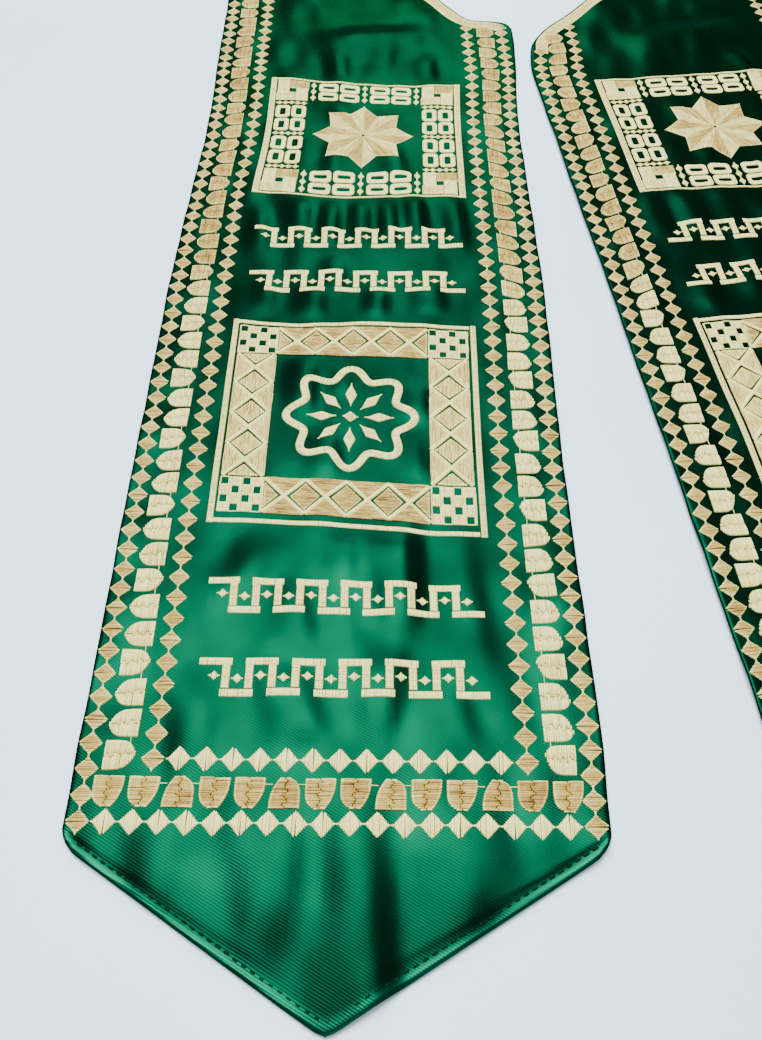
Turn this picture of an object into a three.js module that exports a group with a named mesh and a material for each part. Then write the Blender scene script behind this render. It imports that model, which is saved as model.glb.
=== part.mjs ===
// A two-panel satin sash with a V neck, laid flat. Its left and right halves meet at the back of the neck.
// Millimetres, +Z up, the neck towards +Y and the pointed ends towards -Y.
import * as THREE from 'three';

// Cloth
const panelWidth = 150;
const panelLength = 418;      // neck corner to bottom corner, along the panel
const pointDepth = 47;        // bottom corners to the tip
const cornerDrop = 2;         // straight edge below the last stitched row, before the point starts
const clothThickness = 1.5;   // two layers of satin, turned and pressed
const frontGap = 8;           // between the two neck corners
const seamGap = 0.3;          // between the halves at the back of the neck
const panelLean = 3.1;        // degrees that each panel swings out from the middle
const neckRadius = 74;        // of the round part of the neck hole
const neckCentreY = 89;       // its centre, above the higher neck corner

// The V of the neck. Each front edge ends in a corner, this far below the higher of the two. From the corner
// the neck edge runs to a bend, across the panel and up, and on in a straight line to the round part.
const neckCorners = {
  left: { below: 0, across: 22, up: 5 },
  right: { below: 24, across: 8, up: 16 },
};

// Stitching, raised on the cloth
const stitchGap = 0.4;
const stitchHeight = 0.8;
const trimWidth = 7;
const trimInset = 1.2;        // cloth that shows between the neck edge and its trim
const diamondWidth = 7.4;
const tabWidth = 8.8;
const edgeRowInset = 4;       // middle of the outer diamonds, from the cloth's edge
const tabRowInset = 12.5;
const fieldRowInset = 22;
const rowStart = 9;           // the rows beside the front edge stop this far below the neck corner

// The two framed squares on each panel, and the stitched bands below them
const frameWidth = 94;
const frameBand = 17;
const upperFrame = { top: 53, height: 88 };
const lowerFrame = { top: 220, height: 96 };
const starRadius = 24;
const starNotch = 0.72;       // inner points of the star, as a share of its radius
const starPoints = 8;
const rosetteRadius = 25;
const rosettePetals = 8;
const rosetteDepth = 5.5;     // how far the petals stand out from the mean circle
const rosetteStroke = 3.3;
const meanderStroke = 2.8;
const meanderHeight = 13;
const meanderLength = 84;
const meanderTurns = 6;
const upperMeanders = { first: 163, second: 190 };
const lowerMeanders = { first: 336, second: 364 };

// Grid of the cloth: columns across the panel and rows along it
const openingColumns = 6;
const bandColumns = 2;
const openingRows = 3;
const pointRows = 3;
const vRows = 2;              // from the bend to the round part of the neck
const shoulderRows = 3;       // round the neck to its side
const backRows = 7;           // from there to the middle of the back

// Soft folds of the satin. Each rises from the surface that the sash lies on.
const foldHeight = 2;
const foldWidth = 34;
// across: share of the field's width from the front edge; down: share of the panel's length;
// run: half length as a share of the panel's length; rise and spread: shares of the height and width above
const folds = {
  left: [
    { across: 0.25, down: 0.07, run: 0.05, rise: 0.8, spread: 1.3 },
    { across: 0.7, down: 0.06, run: 0.05, rise: 1.0, spread: 1.5 },
    { across: 0.3, down: 0.43, run: 0.08, rise: 1.0, spread: 1.0 },
    { across: 0.68, down: 0.42, run: 0.09, rise: 0.9, spread: 1.1 },
    { across: 0.22, down: 0.85, run: 0.08, rise: 0.9, spread: 1.0 },
    { across: 0.58, down: 0.84, run: 0.09, rise: 1.0, spread: 1.0 },
    { across: 0.85, down: 0.85, run: 0.07, rise: 0.7, spread: 0.8 },
    { across: 0.35, down: 1.04, run: 0.05, rise: 0.9, spread: 1.0 },
    { across: 0.66, down: 1.04, run: 0.05, rise: 1.0, spread: 0.9 },
  ],
  right: [
    { across: 0.3, down: 0.065, run: 0.05, rise: 0.9, spread: 1.4 },
    { across: 0.75, down: 0.07, run: 0.05, rise: 0.7, spread: 1.2 },
    { across: 0.25, down: 0.43, run: 0.08, rise: 0.9, spread: 1.1 },
    { across: 0.6, down: 0.43, run: 0.09, rise: 1.0, spread: 1.0 },
    { across: 0.3, down: 0.85, run: 0.08, rise: 1.0, spread: 1.1 },
    { across: 0.72, down: 0.84, run: 0.08, rise: 0.9, spread: 1.0 },
    { across: 0.5, down: 1.05, run: 0.05, rise: 1.0, spread: 1.2 },
  ],
};

const rad = THREE.MathUtils.degToRad;
const { lerp, clamp } = THREE.MathUtils;
const lean = rad(panelLean);
const borderWidth = (panelWidth - frameWidth) / 2;
const fieldBottom = panelLength - borderWidth;

// The outer edge of each panel runs straight on into a circle round the neck's centre.
const outerRadius = (frontGap / 2) * Math.cos(lean) + panelWidth - neckCentreY * Math.sin(lean);

const satin = new THREE.MeshStandardMaterial({ color: 0x006b45, roughness: 0.4, metalness: 0 });
const goldThread = new THREE.MeshStandardMaterial({ color: 0xd9bd8b, roughness: 0.45, metalness: 0.1 });

const evenly = (from, to, count) => Array.from({ length: count }, (_, i) => lerp(from, to, (i + 1) / count));

// A place on the panel: a is the distance from its front edge, d the distance down from the neck corner.
function panelPlace(a, d) {
  return new THREE.Vector2(
    frontGap / 2 + a * Math.cos(lean) + d * Math.sin(lean),
    a * Math.sin(lean) - d * Math.cos(lean),
  );
}

function onCircle(radius, angle) {
  return new THREE.Vector2(radius * Math.cos(angle), neckCentreY + radius * Math.sin(angle));
}

// How far the pointed end reaches below the bottom corners, at a distance a across the panel.
function pointReach(a) {
  return cornerDrop + (pointDepth - cornerDrop) * (1 - Math.abs((2 * a) / panelWidth - 1));
}

// Sections of the neck from the middle of the back down to the neck corner, each with its place on the neck
// edge (inner) and on the outer edge (outer).
function neckSections(side) {
  const { below, across, up } = neckCorners[side];
  const corner = panelPlace(0, below);
  const bend = panelPlace(across, below - up);
  const toBend = bend.clone().sub(onCircle(0, 0));
  const touchAngle = toBend.angle() - 2 * Math.PI + Math.acos(neckRadius / toBend.length());
  const touch = onCircle(neckRadius, touchAngle);
  const shoulder = [
    corner,
    bend,
    ...evenly(0, 1, vRows).map((share) => bend.clone().lerp(touch, share)),
    ...evenly(touchAngle, lean, shoulderRows).map((angle) => onCircle(neckRadius, angle)),
  ];
  const lengths = [0];
  for (let i = 1; i < shoulder.length; i += 1) {
    lengths.push(lengths[i - 1] + shoulder[i].distanceTo(shoulder[i - 1]));
  }
  const outerStart = panelPlace(panelWidth, below);
  const outerEnd = onCircle(outerRadius, lean);
  const back = evenly(lean, Math.PI / 2, backRows).map((angle) => ({
    inner: onCircle(neckRadius, angle),
    outer: onCircle(outerRadius, angle),
  }));
  back.at(-1).inner.x = seamGap / 2;
  back.at(-1).outer.x = seamGap / 2;
  const front = shoulder.map((inner, i) => ({
    inner,
    outer: outerStart.clone().lerp(outerEnd, lengths[i] / lengths.at(-1)),
  }));
  return [...front, ...back].reverse();
}

// A line at a distance to the right of another, as that one runs.
function lineBeside(line, distance) {
  return line.map((place, i) => {
    const arrive = place.clone().sub(line[i ? i - 1 : 0]).normalize();
    const leave = (line[i + 1] ?? place).clone().sub(place).normalize();
    const along = arrive.clone().add(leave).normalize();
    const halfTurn = Math.max(along.dot(arrive), along.dot(leave));
    return place.clone().addScaledVector(new THREE.Vector2(along.y, -along.x), distance / halfTurn);
  });
}

// The same, beside a line that starts at the seam in the middle of the back.
function lineFromSeam(line, distance) {
  const beside = lineBeside(line, distance);
  beside[0].x = seamGap / 2;
  return beside.map(({ x, y }) => new THREE.Vector3(x, y, stitchBase));
}

// Columns across the panel, on the lines of the frames.
const columns = [
  0,
  borderWidth,
  ...evenly(borderWidth, borderWidth + frameBand, bandColumns),
  ...evenly(borderWidth + frameBand, panelWidth - borderWidth - frameBand, openingColumns),
  ...evenly(panelWidth - borderWidth - frameBand, panelWidth - borderWidth, bandColumns),
  panelWidth,
];

function frameRows({ top, height }) {
  return [
    top,
    top + frameBand / 2,
    top + frameBand,
    ...evenly(top + frameBand, top + height - frameBand, openingRows),
    top + height - frameBand / 2,
    top + height,
  ];
}

const upperEnd = upperFrame.top + upperFrame.height;
const lowerEnd = lowerFrame.top + lowerFrame.height;
function panelRows(side) {
  const { below } = neckCorners[side];
  return [
    below,
    below + rowStart,
    (below + rowStart + upperFrame.top) / 2,
    ...frameRows(upperFrame),
    ...evenly(upperEnd, lowerFrame.top, 4).slice(0, -1),
    ...frameRows(lowerFrame),
    ...evenly(lowerEnd, fieldBottom, 4),
    panelLength,
  ];
}

const bump = (t) => (Math.abs(t) < 1 ? (1 + Math.cos(Math.PI * t)) / 2 : 0);

// Height of the cloth's underside: folds in the open satin, flat under the stitched borders and frames.
function foldRelief(side, a, d) {
  const field = clamp(Math.min(a - borderWidth, panelWidth - borderWidth - a) / borderWidth, 0, 1);
  const hem = d > panelLength ? clamp((panelLength + pointReach(a) - d) / borderWidth, 0, 1) : 1;
  const inside = d > panelLength ? hem : field;
  const stitched = [upperFrame, lowerFrame].some((f) => d >= f.top && d <= f.top + f.height)
    || (d >= fieldBottom && d <= panelLength);
  if (stitched || d <= neckCorners[side].below + rowStart) {
    return 0;
  }
  return folds[side].reduce((height, fold) => {
    const across = borderWidth + fold.across * frameWidth;
    const beside = bump((a - across) / ((foldWidth * fold.spread) / 2));
    const along = bump((d / panelLength - fold.down) / fold.run);
    return height + foldHeight * fold.rise * beside * along * inside;
  }, 0);
}

// Height of the faceted cloth between its columns and rows.
function clothHeight(side, a, d) {
  const rows = panelRows(side);
  const i = clamp(columns.findIndex((c) => c > a) - 1, 0, columns.length - 2);
  const j = clamp(rows.findIndex((r) => r > d) - 1, 0, rows.length - 2);
  const u = (a - columns[i]) / (columns[i + 1] - columns[i]);
  const v = (d - rows[j]) / (rows[j + 1] - rows[j]);
  const at = (di, dj) => foldRelief(side, columns[i + di], rows[j + dj]);
  return u > v
    ? at(0, 0) + u * (at(1, 0) - at(0, 0)) + v * (at(1, 1) - at(1, 0))
    : at(0, 0) + v * (at(0, 1) - at(0, 0)) + u * (at(1, 1) - at(0, 1));
}

// A sheet of even thickness: its underside goes through the points, and its rim closes wherever a face
// has no neighbour. Faces run counterclockwise, seen from above.
function slabGeometry(points, faces, thickness) {
  const count = points.length;
  const topPoints = points.map((p) => p.clone().setZ(p.z + thickness));
  const positions = [...points, ...topPoints].flatMap((p) => p.toArray());
  const index = [];
  const rim = new Map();
  for (const face of faces) {
    for (let k = 2; k < face.length; k += 1) {
      index.push(face[0] + count, face[k - 1] + count, face[k] + count);
      index.push(face[0], face[k], face[k - 1]);
    }
    face.forEach((from, k) => {
      const to = face[(k + 1) % face.length];
      if (!rim.delete(`${to},${from}`)) {
        rim.set(`${from},${to}`, [from, to]);
      }
    });
  }
  for (const [from, to] of rim.values()) {
    index.push(from, to, to + count, from, to + count, from + count);
  }
  const geometry = new THREE.BufferGeometry();
  geometry.setAttribute('position', new THREE.Float32BufferAttribute(positions, 3));
  geometry.setIndex(index);
  geometry.computeVertexNormals();
  return geometry;
}

// The same, for points of the right half that the left half mirrors.
function halfGeometry(side, points, faces, thickness) {
  if (side === 'right') {
    return slabGeometry(points, faces, thickness);
  }
  const mirrored = points.map((p) => new THREE.Vector3(-p.x, p.y, p.z));
  return slabGeometry(mirrored, faces.map((face) => [...face].reverse()), thickness);
}

// Faces between rows of points that all have the same number of columns.
function gridFaces(rowCount, columnCount) {
  const faces = [];
  for (let j = 0; j + 1 < rowCount; j += 1) {
    for (let i = 0; i + 1 < columnCount; i += 1) {
      const first = j * columnCount + i;
      faces.push([first, first + columnCount, first + columnCount + 1, first + 1]);
    }
  }
  return faces;
}

function clothGeometry(side) {
  const rows = [
    ...neckSections(side).slice(0, -1).map(({ inner, outer }) => columns.map((a) => {
      const place = inner.clone().lerp(outer, a / panelWidth);
      return new THREE.Vector3(place.x, place.y, 0);
    })),
    ...panelRows(side).map((d) => columns.map((a) => {
      const place = panelPlace(a, d);
      return new THREE.Vector3(place.x, place.y, foldRelief(side, a, d));
    })),
    ...evenly(0, 1, pointRows).map((share) => columns.map((a) => {
      const d = panelLength + share * pointReach(a);
      const place = panelPlace(a, d);
      return new THREE.Vector3(place.x, place.y, foldRelief(side, a, d));
    })),
  ];
  return halfGeometry(side, rows.flat(), gridFaces(rows.length, columns.length), clothThickness);
}

const stitchBase = clothThickness + stitchGap;

function stitchPoint(side, a, d) {
  const place = panelPlace(a, d);
  return new THREE.Vector3(place.x, place.y, clothHeight(side, a, d) + stitchBase);
}

// A stitched row that follows the cloth's outer edge: round the neck, down the outer side, across above the
// point and up the front edge. Its two sides lie at the distances near and far from that edge.
function rowGeometry(side, inset, width) {
  const near = inset - width / 2;
  const far = inset + width / 2;
  const rows = panelRows(side);
  const edge = [...neckSections(side).map(({ outer }) => outer), panelPlace(panelWidth, rows[1])];
  const farLine = lineFromSeam(edge, far);
  const nearLine = lineFromSeam(edge, near);
  const pairs = [
    ...farLine.slice(0, -1).map((place, i) => [place, nearLine[i]]),
    ...rows.filter((d) => d > rows[0] && d <= fieldBottom)
      .map((d) => [stitchPoint(side, panelWidth - far, d), stitchPoint(side, panelWidth - near, d)]),
    [
      stitchPoint(side, panelWidth - far, panelLength - far),
      stitchPoint(side, panelWidth - near, panelLength - near),
    ],
    [stitchPoint(side, far, panelLength - far), stitchPoint(side, near, panelLength - near)],
    ...rows.filter((d) => d >= rows[1] && d <= fieldBottom).reverse()
      .map((d) => [stitchPoint(side, far, d), stitchPoint(side, near, d)]),
  ];
  return halfGeometry(side, pairs.flat(), gridFaces(pairs.length, 2), stitchHeight);
}

// The edging of the neck hole.
function trimGeometry(side) {
  const edge = neckSections(side).map(({ inner }) => inner);
  const innerLine = lineFromSeam(edge, -trimInset);
  const outerLine = lineFromSeam(edge, -trimInset - trimWidth);
  const pairs = innerLine.map((place, i) => [place, outerLine[i]]);
  return halfGeometry(side, pairs.flat(), gridFaces(pairs.length, 2), stitchHeight);
}

// A stitched square frame, on the cloth's own columns and rows.
function frameGeometry(side, frame) {
  const across = columns.slice(1, -1);
  const down = frameRows(frame);
  const inOpening = (a, d) => a >= borderWidth + frameBand && a < panelWidth - borderWidth - frameBand
    && d >= frame.top + frameBand && d < frame.top + frame.height - frameBand;
  const used = new Map();
  const points = [];
  const vertex = (a, d) => {
    const key = `${a},${d}`;
    if (!used.has(key)) {
      used.set(key, points.length);
      points.push(stitchPoint(side, a, d));
    }
    return used.get(key);
  };
  const faces = [];
  for (let j = 0; j + 1 < down.length; j += 1) {
    for (let i = 0; i + 1 < across.length; i += 1) {
      if (!inOpening(across[i], down[j])) {
        faces.push([
          vertex(across[i], down[j]),
          vertex(across[i], down[j + 1]),
          vertex(across[i + 1], down[j + 1]),
          vertex(across[i + 1], down[j]),
        ]);
      }
    }
  }
  return halfGeometry(side, points, faces, stitchHeight);
}

// A flat motif in the middle of a frame's opening, from an outline round its own centre.
function motifMesh(side, frame, shape) {
  const geometry = new THREE.ExtrudeGeometry(shape, { depth: stitchHeight, bevelEnabled: false });
  const centre = panelPlace(panelWidth / 2, frame.top + frame.height / 2);
  const mesh = new THREE.Mesh(geometry, goldThread);
  mesh.position.set(side === 'right' ? centre.x : -centre.x, centre.y, stitchBase);
  mesh.rotation.z = side === 'right' ? lean : -lean;
  return mesh;
}

// An outline round the origin whose distance from it is given for each of its points.
function radialOutline(count, radiusAt) {
  return Array.from({ length: count }, (_, i) => {
    const angle = (2 * Math.PI * i) / count;
    return new THREE.Vector2(Math.cos(angle), Math.sin(angle)).multiplyScalar(radiusAt(i, angle));
  });
}

function starShape() {
  return new THREE.Shape(
    radialOutline(2 * starPoints, (i) => (i % 2 ? starRadius * starNotch : starRadius)),
  );
}

function rosetteShape() {
  const stepsPerPetal = 4;
  const ring = (radius) => radialOutline(
    rosettePetals * stepsPerPetal,
    (i, angle) => radius - rosetteDepth * Math.abs(Math.sin((rosettePetals * angle) / 2)) ** 2,
  );
  const shape = new THREE.Shape(ring(rosetteRadius));
  shape.holes.push(new THREE.Path(ring(rosetteRadius - rosetteStroke).reverse()));
  return shape;
}

// A stitched line that runs across the panel in square turns, from one side of the field to the other.
function meanderGeometry(side, top) {
  const half = meanderStroke / 2;
  const step = meanderLength / (2 * meanderTurns);
  const start = (panelWidth - meanderLength) / 2;
  const high = top + half;
  const low = top + meanderHeight - half;
  const pairs = [];
  for (let turn = 0; turn < 2 * meanderTurns; turn += 1) {
    const a = start + turn * step;
    const level = turn % 2 ? high : low;
    const next = turn % 2 ? low : high;
    const bend = next > level ? half : -half;
    const end = a + step;
    if (turn === 0) {
      pairs.push([[a, level + half], [a, level - half]]);
    }
    if (turn + 1 < 2 * meanderTurns) {
      const middle = (level + next) / 2;
      pairs.push([[end - bend, level + half], [end + bend, level - half]]);
      pairs.push([[end - bend, middle], [end + bend, middle]]);
      pairs.push([[end - bend, next + half], [end + bend, next - half]]);
    } else {
      pairs.push([[end, level + half], [end, level - half]]);
    }
  }
  const points = pairs.map((pair) => pair.map(([a, d]) => stitchPoint(side, a, d)));
  return halfGeometry(side, points.flat(), gridFaces(points.length, 2), stitchHeight);
}

function named(name, mesh) {
  mesh.name = name;
  return mesh;
}

function sashHalf(side) {
  const half = new THREE.Group();
  const stitched = (name, geometry) => named(`${side}_${name}`, new THREE.Mesh(geometry, goldThread));
  half.add(
    named(`${side}_cloth_half`, new THREE.Mesh(clothGeometry(side), satin)),
    stitched('neck_trim', trimGeometry(side)),
    stitched('edge_diamond_row', rowGeometry(side, edgeRowInset, diamondWidth)),
    stitched('tab_row', rowGeometry(side, tabRowInset, tabWidth)),
    stitched('field_diamond_row', rowGeometry(side, fieldRowInset, diamondWidth)),
    stitched('upper_frame', frameGeometry(side, upperFrame)),
    stitched('lower_frame', frameGeometry(side, lowerFrame)),
    named(`${side}_star`, motifMesh(side, upperFrame, starShape())),
    named(`${side}_rosette`, motifMesh(side, lowerFrame, rosetteShape())),
    stitched('upper_meander_1', meanderGeometry(side, upperMeanders.first)),
    stitched('upper_meander_2', meanderGeometry(side, upperMeanders.second)),
    stitched('lower_meander_1', meanderGeometry(side, lowerMeanders.first)),
    stitched('lower_meander_2', meanderGeometry(side, lowerMeanders.second)),
  );
  return half;
}

const sash = new THREE.Group();
sash.add(sashHalf('left'), sashHalf('right'));

// The origin is the middle of the sash's outline, on the surface that it lies on.
const outline = new THREE.Box3().setFromObject(sash);
sash.position.y = -(outline.min.y + outline.max.y) / 2;

export default sash;
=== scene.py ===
"""A green satin sash with a V neck, laid flat, with pale gold machine embroidery.

One half is worked out at a time, in millimetres. Its plan has x outwards from the middle line of the
sash and y towards the back of the neck, from the higher neck corner. A panel is measured in a, the
distance from its front edge, and d, the distance down from that corner. The left half is mirrored when
its mesh is made.
"""

import math
from collections import namedtuple

import bpy
import numpy as np
from mathutils import Matrix, Vector


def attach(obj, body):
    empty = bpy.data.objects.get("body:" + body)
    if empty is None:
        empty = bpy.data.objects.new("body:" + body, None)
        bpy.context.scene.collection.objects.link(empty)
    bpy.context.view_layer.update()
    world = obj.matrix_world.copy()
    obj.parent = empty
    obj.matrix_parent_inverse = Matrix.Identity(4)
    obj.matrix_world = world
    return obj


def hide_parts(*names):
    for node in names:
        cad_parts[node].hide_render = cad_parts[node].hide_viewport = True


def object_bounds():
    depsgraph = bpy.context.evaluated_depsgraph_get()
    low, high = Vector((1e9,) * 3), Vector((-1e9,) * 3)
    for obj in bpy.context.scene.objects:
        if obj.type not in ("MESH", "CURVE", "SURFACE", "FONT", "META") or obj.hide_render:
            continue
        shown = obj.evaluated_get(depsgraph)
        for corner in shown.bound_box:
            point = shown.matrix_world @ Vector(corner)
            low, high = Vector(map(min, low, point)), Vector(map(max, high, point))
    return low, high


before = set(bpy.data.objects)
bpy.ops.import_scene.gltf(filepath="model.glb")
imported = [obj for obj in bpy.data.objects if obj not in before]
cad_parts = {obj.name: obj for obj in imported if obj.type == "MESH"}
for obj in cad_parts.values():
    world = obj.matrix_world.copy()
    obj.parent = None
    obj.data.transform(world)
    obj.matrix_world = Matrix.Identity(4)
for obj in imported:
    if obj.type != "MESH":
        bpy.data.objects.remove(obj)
cad_low, cad_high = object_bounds()
MM = 0.001
SIDES = {"left": -1, "right": 1}

# The cut of the cloth
PANEL_WIDTH = 150.0
PANEL_LENGTH = 418.0
POINT_DEPTH = 47.0
CORNER_DROP = 2.0
FRONT_GAP = 8.0
SEAM_GAP = 0.3
LEAN = math.radians(3.1)
NECK_RADIUS = 74.0
NECK_CENTRE_Y = 89.0
OUTER_RADIUS = FRONT_GAP / 2 * math.cos(LEAN) + PANEL_WIDTH - NECK_CENTRE_Y * math.sin(LEAN)
NeckCorner = namedtuple("NeckCorner", "below across up")
NECK_CORNERS = {"left": NeckCorner(0.0, 22.0, 5.0), "right": NeckCorner(24.0, 8.0, 16.0)}
CORNER_REACH = 8.0
CLOTH_THICKNESS = 1.3
EDGE_ROUNDING = 0.9
CORNER_ROUNDING = 5.0

# The stitched rows, frames and bands
EDGE_ROW_INSET = 4.0
TAB_ROW_INSET = 12.5
FIELD_ROW_INSET = 22.0
TOP_SHIFT = 2.2
TOP_ZONE = (5, 60)
FRAME_WIDTH = 94.0
Square = namedtuple("Square", "top height")
UPPER_FRAME = Square(53.0, 88.0)
LOWER_FRAME = Square(220.0, 96.0)
FRAME_BAND = 17.0
UPPER_MEANDERS = (163.0, 190.0)
LOWER_MEANDERS = (336.0, 364.0)
MEANDER_STROKE = 2.8
MEANDER_HEIGHT = 13.0
MEANDER_LENGTH = 84.0
MEANDER_TURNS = 6
STAR_RADIUS = 24.0
STAR_NOTCH = 0.72
STAR_POINTS = 8
ROSETTE_RADIUS = 25.0
ROSETTE_PETALS = 8
ROSETTE_DEPTH = 5.5
ROSETTE_STROKE = 3.3
TRIM_WIDTH = 6.4
TRIM_INSET = 1.2

TIP_Y = PANEL_WIDTH / 2 * math.sin(LEAN) - (PANEL_LENGTH + POINT_DEPTH) * math.cos(LEAN)
CORNER_Y = cad_low.y / MM - TIP_Y

# Small shifts of the cloth as it lies: centre a and d, shift across and down, radius
Pull = namedtuple("Pull", "a d across down radius")
PULLS = {
    "left": (
        Pull(52, -34, -9, 0, 30),
        Pull(5, 0, 0, -1.6, 10),
        Pull(82, 144, 0, 3.0, 26),
        Pull(120, 48, 0, -2.5, 18),
        Pull(60, 52, 0, 2.5, 30),
        Pull(40, 322, 0, 2.6, 34),
        Pull(100, 218, 0, 1.4, 16),
        Pull(62, 216, 0, -1.2, 16),
        Pull(118, 138, 1.5, 0, 30),
    ),
    "right": (
        Pull(80, 140, 0, 2.0, 26),
        Pull(60, 318, 0, 1.8, 32),
        Pull(96, 216, 0, -1.0, 24),
    ),
}

# A pull's radius over the spread of its bell curve
PULL_SHARPNESS = 1.6

# How far each long edge of a panel wanders outwards, at distances d down it
Wander = namedtuple("Wander", "d front outer")
WANDER = {
    "left": Wander(
        (-40, 17, 87, 205, 287, 392, 418, 465),
        (0, 1.7, -0.8, 1.2, 0.5, 1.8, 1.0, 0),
        (0, -0.8, -2.5, 0.5, 0.2, -0.5, -0.6, 0),
    ),
    "right": Wander(
        (-40, 24, 45, 120, 210, 300, 418, 465),
        (0, 1.9, 3.8, 3.0, 1.7, 0.8, 0, 0),
        (0, 0.3, 0.6, -0.5, -1.2, 0.4, 0.5, 0),
    ),
}

# Soft ridges of the satin: crest a and d, width of the long flank, half length, turn in degrees and rise
Fold = namedtuple("Fold", "a d width half_length turn rise")
STEEP_FLANK = 0.62
FOLDS = (
    Fold(104, -24, 20, 30, 12, 1.1),
    Fold(56, -16, 18, 24, 30, 1.2),
    Fold(74, 14, 24, 40, 98, 2.6),
    Fold(88, 40, 12, 18, 3, 1.2),
    Fold(66, 38, 12, 18, -4, 0.9),
    Fold(44, 40, 10, 18, 3, 1.1),
    Fold(86, 78, 10, 14, 8, 1.1),
    Fold(60, 118, 12, 18, 4, 1.2),
    Fold(88, 114, 10, 18, -4, 0.9),
    Fold(99, 156, 10, 22, 1, 1.5),
    Fold(86, 157, 9, 24, -2, 1.6),
    Fold(73, 158, 9, 22, 3, 1.2),
    Fold(62, 157, 9, 24, 1, 1.5),
    Fold(50, 156, 9, 22, 4, 1.5),
    Fold(33, 160, 9, 26, 0, 1.2),
    Fold(116, 164, 9, 24, 0, 1.1),
    Fold(84, 192, 12, 16, 5, 1.1),
    Fold(91, 208, 11, 12, 3, 1.2),
    Fold(66, 210, 9, 11, -3, 0.9),
    Fold(44, 206, 12, 13, 4, 1.4),
    Fold(110, 206, 9, 13, -4, 1.1),
    Fold(92, 254, 11, 20, 3, 1.3),
    Fold(78, 250, 8, 11, 6, 0.9),
    Fold(82, 286, 11, 14, 10, 1.2),
    Fold(50, 260, 10, 13, -6, 1.0),
    Fold(52, 287, 11, 13, 8, 1.1),
    Fold(57, 332, 15, 30, 2, 2.0),
    Fold(75, 326, 11, 15, 4, 0.8),
    Fold(108, 335, 14, 22, -42, 1.0),
    Fold(90, 350, 13, 18, 12, 1.1),
    Fold(36, 352, 14, 30, 4, 0.9),
    Fold(117, 382, 13, 20, 10, 0.9),
    Fold(88, 378, 14, 18, 16, 1.5),
    Fold(62, 374, 13, 20, -6, 1.4),
    Fold(41, 384, 12, 14, 10, 0.9),
    Fold(122, 422, 14, 20, 4, 0.9),
    Fold(92, 428, 22, 26, 7, 1.3),
    Fold(66, 440, 18, 44, 5, 2.0),
    Fold(38, 424, 22, 26, 8, 1.0),
)


# Helpers


def smoothstep(low, high, value):
    """0 below low, 1 above high and t * t * (3 - 2 t) between them."""
    t = np.clip((value - low) / (high - low), 0.0, 1.0)
    return t * t * (3 - 2 * t)


def smooth_table(value, places, heights):
    """Runs through a table of heights at places, with a flat slope at each of them."""
    places = np.asarray(places, float)
    heights = np.asarray(heights, float)
    i = np.clip(np.searchsorted(places, value) - 1, 0, len(places) - 2)
    t = smoothstep(places[i], places[i + 1], value)
    return heights[i] + (heights[i + 1] - heights[i]) * t


def pairs(first, second):
    """Places, from their two coordinates."""
    return np.stack([first, second], axis=-1)


def panel_to_plan(a, d):
    """The panel's own axes, turned by its lean about the neck corner."""
    x = FRONT_GAP / 2 + a * math.cos(LEAN) + d * math.sin(LEAN)
    y = a * math.sin(LEAN) - d * math.cos(LEAN)
    return np.stack(np.broadcast_arrays(x, y), axis=-1)


def plan_to_panel(plan):
    """The inverse of panel_to_plan, for places anywhere on the half."""
    x = plan[..., 0] - FRONT_GAP / 2
    y = plan[..., 1]
    return x * math.cos(LEAN) + y * math.sin(LEAN), x * math.sin(LEAN) - y * math.cos(LEAN)


def wandered(side, plan):
    """Moves each place across the panel by the wander of its two edges, in proportion to its share
    across, and then by the pulls, each of which fades as a bell curve of its radius."""
    a, d = plan_to_panel(plan)
    table = WANDER[side]
    share = np.clip(a / PANEL_WIDTH, 0.0, 1.0)
    shift = smooth_table(d, table.d, table.outer) * share
    shift = shift - smooth_table(d, table.d, table.front) * (1 - share)
    down = np.zeros(a.shape)
    for pull in PULLS[side]:
        spread = pull.radius / PULL_SHARPNESS
        bell = np.exp(-((a - pull.a) ** 2 + (d - pull.d) ** 2) / (2 * spread**2))
        shift = shift + pull.across * bell
        down += pull.down * bell
    across_panel = np.array([math.cos(LEAN), math.sin(LEAN)])
    down_panel = np.array([math.sin(LEAN), -math.cos(LEAN)])
    return plan + shift[..., None] * across_panel + down[..., None] * down_panel


SOFT_EDGE = 5.0


def soft_box(a, d, a_low, a_high, d_low, d_high):
    """1 inside a rectangle of the panel and 0 outside, with soft edges."""
    across = smoothstep(a_low - SOFT_EDGE, a_low, a) * (1 - smoothstep(a_high, a_high + SOFT_EDGE, a))
    down = smoothstep(d_low - SOFT_EDGE, d_low, d) * (1 - smoothstep(d_high, d_high + SOFT_EDGE, d))
    return across * down


FOLD_SEED = 7
FOLD_MOVES = (4, 6)
FOLD_RISES = (0.9, 0.3)


def folds_of(side):
    """The left half's ridges as listed. On the right half each is moved a little and has its own
    rise."""
    if side == "left":
        return FOLDS
    folds = []
    changes = np.random.default_rng(FOLD_SEED).uniform(-1, 1, (len(FOLDS), 3))
    for fold, change in zip(FOLDS, changes):
        a = fold.a + FOLD_MOVES[0] * change[0]
        d = fold.d + FOLD_MOVES[1] * change[1]
        rise = fold.rise * (FOLD_RISES[0] + FOLD_RISES[1] * change[2])
        folds.append(fold._replace(a=a, d=d, rise=rise))
    return folds


FOLD_CORE = 0.2
FRAME_STIFFNESS = 0.45
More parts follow.
